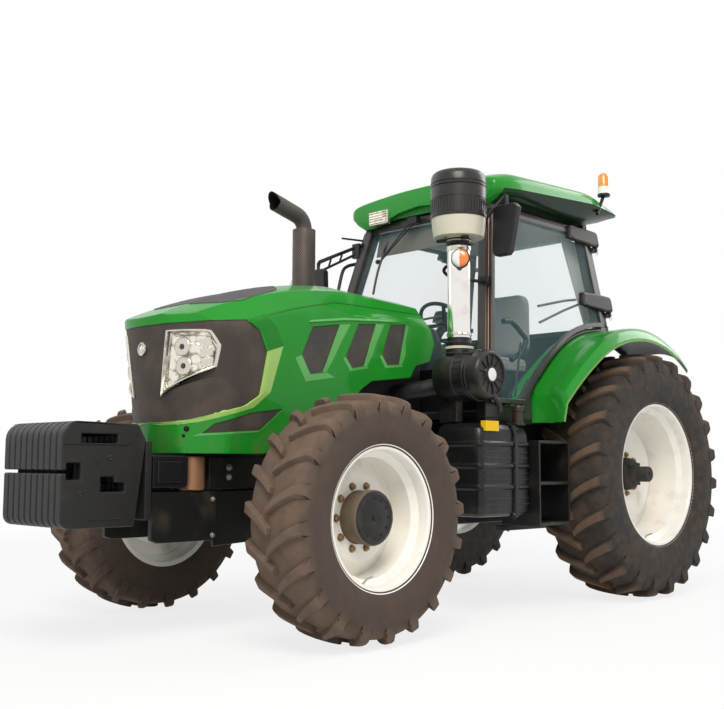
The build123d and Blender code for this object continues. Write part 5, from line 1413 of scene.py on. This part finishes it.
stops = [(1.540, 0.93), (1.543, 0.965), (1.552, 0.985), (1.570, 1.0), (1.584, 1.0), (1.586, 1.0)]
stops += [(1.62 + 0.06 * k, 1.0) for k in range(23)]
stops += [(3.00, 1.0), (3.035, 0.985), (3.052, 0.955), (3.060, 0.90)]
moulding = Shape().loft([roof_ring(y, share) for y, share in stops]).make(
    "roof_moulding", green, "roof", smooth=38, replaces=("roof",))
# The roof's downward-facing lower band gets a near-black green: painted shade under the roof's edge.
roof_painted_shade = enamel("roof_underside_painted_shade", (0.004, 0.022, 0.007), 0.4, 0.0)
moulding.data.materials.append(roof_painted_shade.material)
for face in moulding.data.polygons:
    y = face.center.y - FRONT_LINE
    low_z = roof_values(y)[1]
    if face.normal.z < -0.05 and y > 1.62 and face.center.z < low_z + 0.16:
        face.material_index = 1
Shape().box(at(-0.518, 2.840, 2.650), at(0.518, 2.906, 2.788)).make("roof_rear_header", moulded, "roof",
                                                                    bevel=0.014, segments=3)
print("roof moulded")

# %% Round the frames and cover the hinges
CAB_HALF, WAIST = 0.735, 1.7
INWARD, FORWARD, BACKWARD = 0.17, 0.07, 0.24      # leans: cab side, rear post, front post


def cab_side(z, out):
    """Distance of the cab's side from the middle at a height."""
    return CAB_HALF - INWARD * (z - WAIST) + out


COVER = ((-0.394, -0.030), (-0.370, 0.052), (-0.20, 0.062), (-0.015, 0.058), (0.006, 0.040), (0.008, -0.052),
         (-0.090, -0.064), (-0.130, -0.060), (-0.330, -0.052))
KNUCKLE = ((-0.006, 0.012), (-0.004, 0.022), (0.0, 0.0255), (0.030, 0.0255), (0.034, 0.023), (0.070, 0.023),
           (0.074, 0.0255), (0.104, 0.0255), (0.108, 0.020), (0.110, 0.008))
for side_name, side in SIDES:
    door = "door_" + side_name
    refined(door, post_paint, 0.004, 30)
    for z0 in (2.120, 2.622):
        mark = "_%s_%d" % (side_name, int(z0 * 100))
        axis_y = 2.850 - FORWARD * (z0 - WAIST) + 0.088
        Shape().loft([[at(side * cab_side(z0 + z, out), axis_y + y, z0 + z) for y, z in COVER]
                      for out in (0.010, 0.058)]).make(
            "hinge_cover" + mark, hinge_plastic, door, bevel=0.016, smooth=30, segments=4)
        pin = at(side * cab_side(z0, 0.019), axis_y, z0)
        hinge_line = Vector((-INWARD * side, -FORWARD, 1.0)).normalized()
        Shape().lathe(pin - hinge_line * 0.054, hinge_line, KNUCKLE, 28).make(
            "hinge_knuckle" + mark, hinge_plastic, door)


def repaint(node, finish):
    """A CAD node that is shown as it is, in a finish."""
    materials = frame["nodes"][node].data.materials
    materials.clear()
    materials.append(finish.material)


for node in ("door_glass_left", "door_glass_right", "cab_windows"):
    repaint(node, cab_glass)
print("cab shell rounded")


# %% Post strips, bars and wipers
def post_strip(y_off, wide):
    """Strip up the front post's outer face."""
    ends, deep = [], 0.006
    for z in (1.32, 2.60):
        x, y = cab_side(z, 0.0), 1.400 + BACKWARD * (z - WAIST) + y_off
        ends.append([at(x, y, z), at(x, y + wide, z), at(x + deep, y + wide * 0.8, z),
                     at(x + deep, y + wide * 0.2, z)])
    return Shape().loft(ends).twin()


# The warm brown strip up the front post is a painted highlight on the glossy post.
post_strip(-0.026, 0.030).make("front_post_highlight_strip", rust_and_warm_light, "cab_frame", "chassis_black", bevel=0.002)
post_strip(-0.044, 0.012).make("front_post_seal", moulded, "cab_frame", bevel=0.002)
wipers = Shape()
wipers.tube([at(-0.090, 1.555, 2.655), at(-0.338, 1.488, 2.384)], 0.0055, 8)
wipers.tube([at(-0.050, 1.555, 2.650), at(-0.318, 1.490, 2.392)], 0.0055, 8)
wipers.tube([at(-0.320, 1.494, 2.400), at(-0.300, 1.516, 2.500)], 0.007, 8)
blade = [at(-0.296, 1.540, 2.540), at(-0.325, 1.470, 2.330), at(-0.335, 1.425, 2.140)]
wipers.tube(smooth_points(blade, 6), 0.009, 8)
wipers.lathe(at(-0.338, 1.478, 2.384), (0, -1, 0.2), [(0, 0.018), (0.012, 0.016), (0.014, 0.008)], 20)
wipers.box(at(-0.115, 1.545, 2.640), at(-0.025, 1.590, 2.685))
wipers.make("windscreen_wiper", moulded, "cab_frame")
rails = Shape()
rails.tube(smooth_points([at(-0.735, 1.420, 2.03), at(-0.748, 1.470, 2.20), at(-0.752, 1.520, 2.365),
                          at(-0.745, 1.560, 2.415), at(-0.700, 1.590, 2.430),
                          at(-0.640, 1.600, 2.432)], 6), 0.013, 14)
rails.tube([at(-0.735, 1.420, 2.03), at(-0.700, 1.455, 2.025)], 0.013, 12)
rails.tube([at(-0.66, 1.425, 2.600), at(-0.63, 1.620, 2.606), at(-0.60, 1.66, 2.607)], [0.007, 0.008, 0.012],
           12)
rails.make("right_handrail", moulded, "cab_frame")
inside = Shape()
inside.tube([at(0.60, 2.127, 2.036), at(0.60, 2.45, 2.11), at(0.60, 2.60, 2.135)], 0.009, 12)
inside.tube([at(0.60, 2.143, 1.921), at(0.60, 2.45, 2.04), at(0.60, 2.64, 2.105)], 0.009, 12)
inside.twin().make("inner_grab_bars", trim_grey, "cab_body")
handle = Shape()
handle.tube(smooth_points([at(0.655, 1.650, 1.875), at(0.655, 1.745, 1.880), at(0.655, 1.860, 1.810),
                           at(0.655, 1.900, 1.770), at(0.655, 1.850, 1.690), at(0.655, 1.734, 1.622)], 5),
            0.019, 14)
handle.tube([at(0.668, 1.823, 1.746), at(0.735, 1.659, 1.374)], 0.008, 10)
handle.make("door_lever_left", moulded, "door_left")
handle.mirror_image().make("door_lever_right", moulded, "door_right")
print("bars and wipers hung")

# %% [markdown]
# ## Inside the cab
# Through the glass the eye finds a pale headliner, a brown sun strip over the windscreen, pale rear
# pillars, the console, the wheel and the seat. The seat is foam under cloth: each cushion is a crowned
# closed form that is blown up a little by a cloth simulation, so its faces swell between sewn edges.

# %% Line the cab
lining = Shape()
lining.drawn(((-0.52, 1.70, 2.628), (0.52, 1.70, 2.628), (0.52, 2.74, 2.628),
                                          (-0.52, 2.74, 2.628)), (0, 0, 0.012))
lining.make("cab_headliner", headliner, "cab_body", "seat_fabric", bevel=0.004)
visor = Shape().drawn(((-0.50, 1.628, 2.46), (0.50, 1.628, 2.46), (0.50, 1.665, 2.622),
                                                   (-0.50, 1.665, 2.622)), (0, 0.012, 0))
visor.make("cab_sun_strip", sun_strip, "cab_body", "seat_fabric", bevel=0.003)
pillars = Shape()
pillars.loft([[at(x, y, 1.96) for x, y in ((0.605, 2.690), (0.620, 2.690), (0.620, 2.790), (0.605, 2.790))],
              [at(x, y, 2.600) for x, y in ((0.500, 2.560), (0.515, 2.560), (0.515, 2.740), (0.500, 2.740))]])
pillars.twin().make("cab_pillar_trim", pillar_trim, "cab_body", "seat_fabric", bevel=0.004)
repaint("steering_wheel", moulded)
controls = Shape()
for x, y, lean in ((-0.33, 2.02, 0.02), (-0.38, 2.10, 0.0), (-0.43, 2.18, -0.02)):
    controls.tube([at(x, y, 1.63), at(x, y - lean, 1.76)], 0.007, 10)
    controls.lathe(at(x, y - lean, 1.75), (0, 0, 1),
                   [(0, 0.012), (0.015, 0.020), (0.035, 0.021), (0.045, 0.012)], 16)
controls.make("cab_levers", moulded, "cab_body")
console = Shape().box(at(-0.50, 1.95, 1.11), at(-0.27, 2.60, 1.64))
console.make("cab_side_console", moulded, "cab_body", bevel=0.030, segments=4)
print("cab lined")

# %% Upholster the seat
cloth_finish = Finish("seat_cloth", (0.10, 0.10, 0.105), 0.9, Sheen_Weight=0.4)
weave, across = (cloth_finish.node("TexWave", {"wave_type": "BANDS", "bands_direction": way},
                                   {"Vector": cloth_finish.place, "Scale": 220.0, "Distortion": 1.5,
                                    "Detail": 2.0}) for way in "XZ")
cloth_finish.set("Base Color", cloth_finish.mix(weave * across, (0.30, 0.30, 0.30), (0.52, 0.52, 0.51)))
cloth_finish.bump(weave * 0.5 + across * 0.5, 0.3, 0.001)


def pad_grid(low, high, cells):
    """Closed box of a grid of faces."""
    work = bmesh.new()
    bmesh.ops.create_cube(work, size=1.0)
    for vert in work.verts:
        vert.co = Vector([a + (b - a) * (c + 0.5) for a, b, c in zip(low, high, vert.co)])
    bmesh.ops.subdivide_edges(work, edges=work.edges, cuts=cells, use_grid_fill=True)
    return work


FOAM_FRAMES, FOAM_PRESSURE = 20, 4.0


def cushion(name, low, high, puff, replaces=(), tuck=0.07):
    """Foam pad: a rounded box blown up by cloth, then smoothed."""
    low, high = at(*low), at(*high)
    middle_pad, half = (low + high) / 2, (high - low) / 2
    work = pad_grid(low + Vector((puff,) * 3), high - Vector((puff,) * 3), 11)
    for vert in work.verts:
        u = Vector([(vert.co[k] - middle_pad[k]) / half[k] for k in range(3)])
        pull = 1 - tuck * sum(sorted(abs(c) ** 6 for c in u)[1:])
        vert.co = middle_pad + Vector([u[k] * half[k] * pull for k in range(3)])
    mesh = bpy.data.meshes.new(name)
    work.to_mesh(mesh)
    work.free()
    trial = bpy.data.objects.new(name + "_trial", mesh)
    scene.collection.objects.link(trial)
    cloth = trial.modifiers.new("foam", "CLOTH")
    cloth.settings.use_pressure, cloth.settings.uniform_pressure_force = True, FOAM_PRESSURE
    cloth.settings.effector_weights.gravity = 0.0
    cloth.settings.quality = 4
    cloth.point_cache.frame_end = FOAM_FRAMES
    start = [v.co.copy() for v in mesh.vertices]
    for number in range(1, FOAM_FRAMES + 1):
        scene.frame_set(number)
    shaped = trial.evaluated_get(bpy.context.evaluated_depsgraph_get()).to_mesh()
    moved = [v.co.copy() for v in shaped.vertices]
    for vert, old, new in zip(mesh.vertices, start, moved):
        step = new - old
        vert.co = old + step * min(1.0, puff * 0.9 / max(step.length, 1e-6))
    bpy.data.objects.remove(trial)
    scene.frame_set(1)
    piece = dress_up(name, mesh, cloth_finish, "seat", None, 0, 60, replaces, subdivide=1)


cushion("seat_cushion", (-0.250, 2.080, 1.600), (0.250, 2.560, 1.720), 0.012, ("seat",))
cushion("seat_back", (-0.235, 2.530, 1.680), (0.235, 2.640, 2.290), 0.012, (), 0.20)
print("seat upholstered")

# %% [markdown]
# ## Mirrors, lamps and beacon
# The mirror heads are moulded shells with the glass on their rear face. Lamps are a housing, ribs or a
# lens, and a bracket. The beacon is an amber dome on a white base and a black collar, on a slanted stem.

# %% Hang the mirrors
refined("mirrors", moulded, 0.010, 30, segments=4, merge=0.6)
glasses = Shape()
for side, x, y, z in ((1, 0.975, 1.265, 2.600), (-1, 0.930, 1.437, 2.457)):
    top, low = z - 0.060, z - 0.380
    outline = [(x - 0.066, top - 0.034), (x - 0.056, top - 0.018), (x + 0.066, top - 0.018),
               (x + 0.080, top - 0.036),
               (x + 0.028, low + 0.038), (x + 0.012, low + 0.020), (x - 0.060, low + 0.020),
               (x - 0.076, low + 0.040)]
    glasses.prism([at(side * a, y + 0.0275, b) for a, b in outline], (0, 0.002, 0))
glasses.make("mirror_glasses", mirror_glass, "mirrors", "clear_glass")
arms = Shape()
arms.tube([at(-0.600, 1.545, 2.500), at(-0.895, 1.460, 2.398), at(-0.925, 1.440, 2.390)], 0.010, 12)
arms.tube([at(-0.74, 1.505, 2.50), at(-0.76, 1.500, 2.452)], 0.008, 10)
arms.tube([at(-0.83, 1.475, 2.472), at(-0.85, 1.470, 2.418)], 0.008, 10)
arms.box(at(-0.66, 1.530, 2.46), at(-0.59, 1.570, 2.57))
arms.make("right_mirror_arm", moulded, "mirrors", bevel=0.002)
print("mirrors hung")

# %% Mount the lamps and the beacon
housings, ribs, lenses = Shape(), Shape(), Shape()
for side in (1, -1):
    front_x, rear_x = side * 0.380, side * 0.430
    housings.box(at(front_x - 0.093, 1.520, 2.675), at(front_x + 0.093, 1.560, 2.778))
    for number in range(5):
        z = 2.684 + 0.019 * number
        ribs.drawn([(front_x - 0.084, y, z + dz) for y, dz in ((1.520, 0), (1.510, 0.003), (1.510, 0.010),
                                                               (1.520, 0.012))], (0.168, 0, 0))
    housings.box(at(rear_x - 0.074, 2.846, 2.657), at(rear_x + 0.074, 2.902, 2.743))
    lenses.box(at(rear_x - 0.064, 2.902, 2.667), at(rear_x + 0.064, 2.908, 2.733))
housings.make("work_lamp_housings", bezel, "roof_lamps", "bright_steel", bevel=0.008, segments=3,
              replaces=("roof_lamps",))
ribs.make("work_lamp_ribs", silver, "roof_lamps", "lamp_lens", bevel=0.0015)
lenses.make("work_lamp_rear_lenses", white_lens, "roof_lamps", "lamp_lens", bevel=0.003)
stem_top = at(0.712, 2.840, 2.945)
Shape().tube([at(0.712, 2.740, 2.785), at(0.712, 2.830, 2.930), stem_top + up * 0.004], 0.013, 16).lathe(
    stem_top + up * -0.012, up, [(0, 0.030), (0.004, 0.047), (0.020, 0.048), (0.024, 0.040)], 40).make(
    "beacon_stem", moulded, "roof_lamps")
Shape().lathe(stem_top, up,
              [(0.008, 0.036), (0.010, 0.0445), (0.055, 0.0455), (0.062, 0.0455), (0.066, 0.040)],
              48).make("beacon_base", white_lens, "roof_lamps", "lamp_lens", bevel=0.001)
dome = [(0.064, 0.040), (0.066, 0.0425), (0.140, 0.0410), (0.156, 0.036), (0.166, 0.024), (0.170, 0.010),
        (0.170, 0.0)]
Shape().lathe(stem_top, up, dome, 48).make("beacon_dome", amber, "roof_lamps", "lamp_lens", smooth=50)
print("roof lamps mounted")

# %% Mount the signal lamps
SIGNAL_ARM = ((0.762, 1.090, 2.190), (0.640, 1.130, 2.195), (0.545, 1.170, 2.165), (0.560, 1.250, 2.125),
              (0.620, 1.400, 2.120), (0.645, 1.475, 2.118))
for side_name, side in SIDES:
    lamp_middle = at(side * 0.780, 1.050, 2.197)
    aim, across = Vector((side * 0.45, -0.89, 0)), Vector((side * 0.89, 0.45, 0))

    def oval(radius, out, angles):
        return [lamp_middle + aim * out + across * radius * math.cos(a) * 0.95 + up * radius * math.sin(a)
                for a in angles]

    Shape().loft([oval(radius, out, turns(40)) for radius, out in (
        (0.030, -0.050), (0.056, -0.034), (0.063, -0.010), (0.063, 0.0), (0.058, 0.004))]).make(
        "signal_housing_" + side_name, moulded, "roof_lamps", smooth=40)
    for name, low, finish in (("clear", 90, signal_clear), ("orange", -90, orange)):
        half_turn = [math.radians(low + 9 * k) for k in range(21)]
        Shape().loft([oval(0.057 * share, rise, half_turn) for share, rise in (
            (1.0, 0.002), (0.96, 0.012), (0.8, 0.019), (0.5, 0.024), (0.05, 0.026))], False, False).make(
            "signal_%s_%s" % (name, side_name), finish, "roof_lamps", "lamp_lens", smooth=60)
    arm = smooth_points([at(side * x, y, z) for x, y, z in SIGNAL_ARM], 6)
    foot_x = side * 0.62
    Shape().tube(arm, 0.011, 12).box(at(foot_x - 0.02, 1.450, 2.085), at(foot_x + 0.06, 1.475, 2.155)).make(
        "signal_arm_" + side_name, moulded, "roof_lamps")
print("signal lamps mounted")

# %% [markdown]
# ## Tank
# The fuel tank is a moulding with three ridges round it and a rounded top, held by steel straps. It is
# lofted upward from one rounded outline drawn in and out. The yellow plate stays blank.


# %% Mould the tank
CORNER_STEPS = 5


def rounded_plan(x0, x1, y0, y1, radius, z):
    """Rounded rectangle at a height."""
    made = []
    for cx, cy, start in ((x1 - radius, y1 - radius, 0), (x0 + radius, y1 - radius, 90),
                          (x0 + radius, y0 + radius, 180), (x1 - radius, y0 + radius, 270)):
        for k in range(CORNER_STEPS + 1):
            a = math.radians(start + 90 * k / CORNER_STEPS)
            made.append(at(cx + radius * math.cos(a), cy + radius * math.sin(a), z))
    return made


LEVELS = ((0.612, 0.045), (0.616, 0.026), (0.632, 0.012), (0.772, 0.010), (0.782, 0.001), (0.796, 0.001),
          (0.806, 0.011), (0.900, 0.011), (0.911, 0.001), (0.925, 0.001), (0.935, 0.011), (1.033, 0.011),
          (1.044, 0.001), (1.058, 0.001), (1.068, 0.011), (1.110, 0.013), (1.145, 0.024), (1.168, 0.045),
          (1.179, 0.075), (1.180, 0.12))
tank = Shape().loft([rounded_plan(0.570 + inset * 0.5, 0.950 - inset, 1.020 + inset, 1.550 - inset, 0.045, z)
                     for z, inset in LEVELS])
tank.make("fuel_tank_moulding", tank_plastic, "fuel_tank", bevel=0.003, smooth=24, replaces=("fuel_tank",))
grooves = Shape()
for z0, z1 in ((0.640, 0.765), (0.815, 0.892), (0.943, 1.025)):
    for y0, y1 in ((1.075, 1.345), (1.400, 1.515)):
        for z in ((z0 + z1) / 2 - 0.018, (z0 + z1) / 2 + 0.018):
            grooves.box(at(0.9375, y0, z - 0.005), at(0.9425, y1, z + 0.005))
grooves.make("fuel_tank_ribs", tank_plastic, "fuel_tank", bevel=0.002)
strap = Shape()
loop = [(0.562, 0.604), (0.948, 0.604), (0.955, 0.612), (0.955, 1.095), (0.930, 1.165), (0.885, 1.1855),
        (0.562, 1.1855)]
inner_loop = [(0.566, 0.608), (0.946, 0.608), (0.951, 0.614), (0.951, 1.093), (0.927, 1.162), (0.883, 1.1815),
              (0.566, 1.1815)]
loops_plate(strap, [[at(x, 1.358, z) for x, z in loop], [at(x, 1.358, z) for x, z in inner_loop]],
            (0, 0.030, 0))
strap.bolt(at(0.930, 1.373, 0.600), (0, 0, -1), 0.016)
strap.make("fuel_tank_strap", black_cast, "fuel_tank", "chassis_black", bevel=0.0012)
neck = [(0.0, 0.046), (0.006, 0.050), (0.010, 0.040), (0.012, 0.0375), (0.085, 0.0375), (0.088, 0.0425),
        (0.118, 0.0425), (0.124, 0.040), (0.1255, 0.030), (0.1255, 0.0)]
Shape().lathe(at(0.885, 1.490, 1.172), up, neck, 48).make(
    "fuel_filler_neck", filler_black, "fuel_tank", bevel=0.001)
Shape().box(at(0.905, 1.080, 1.128), at(0.9465, 1.206, 1.190)).make(
    "fuel_tank_blank_plate", yellow_plate, "fuel_tank", bevel=0.002)
print("tank moulded")
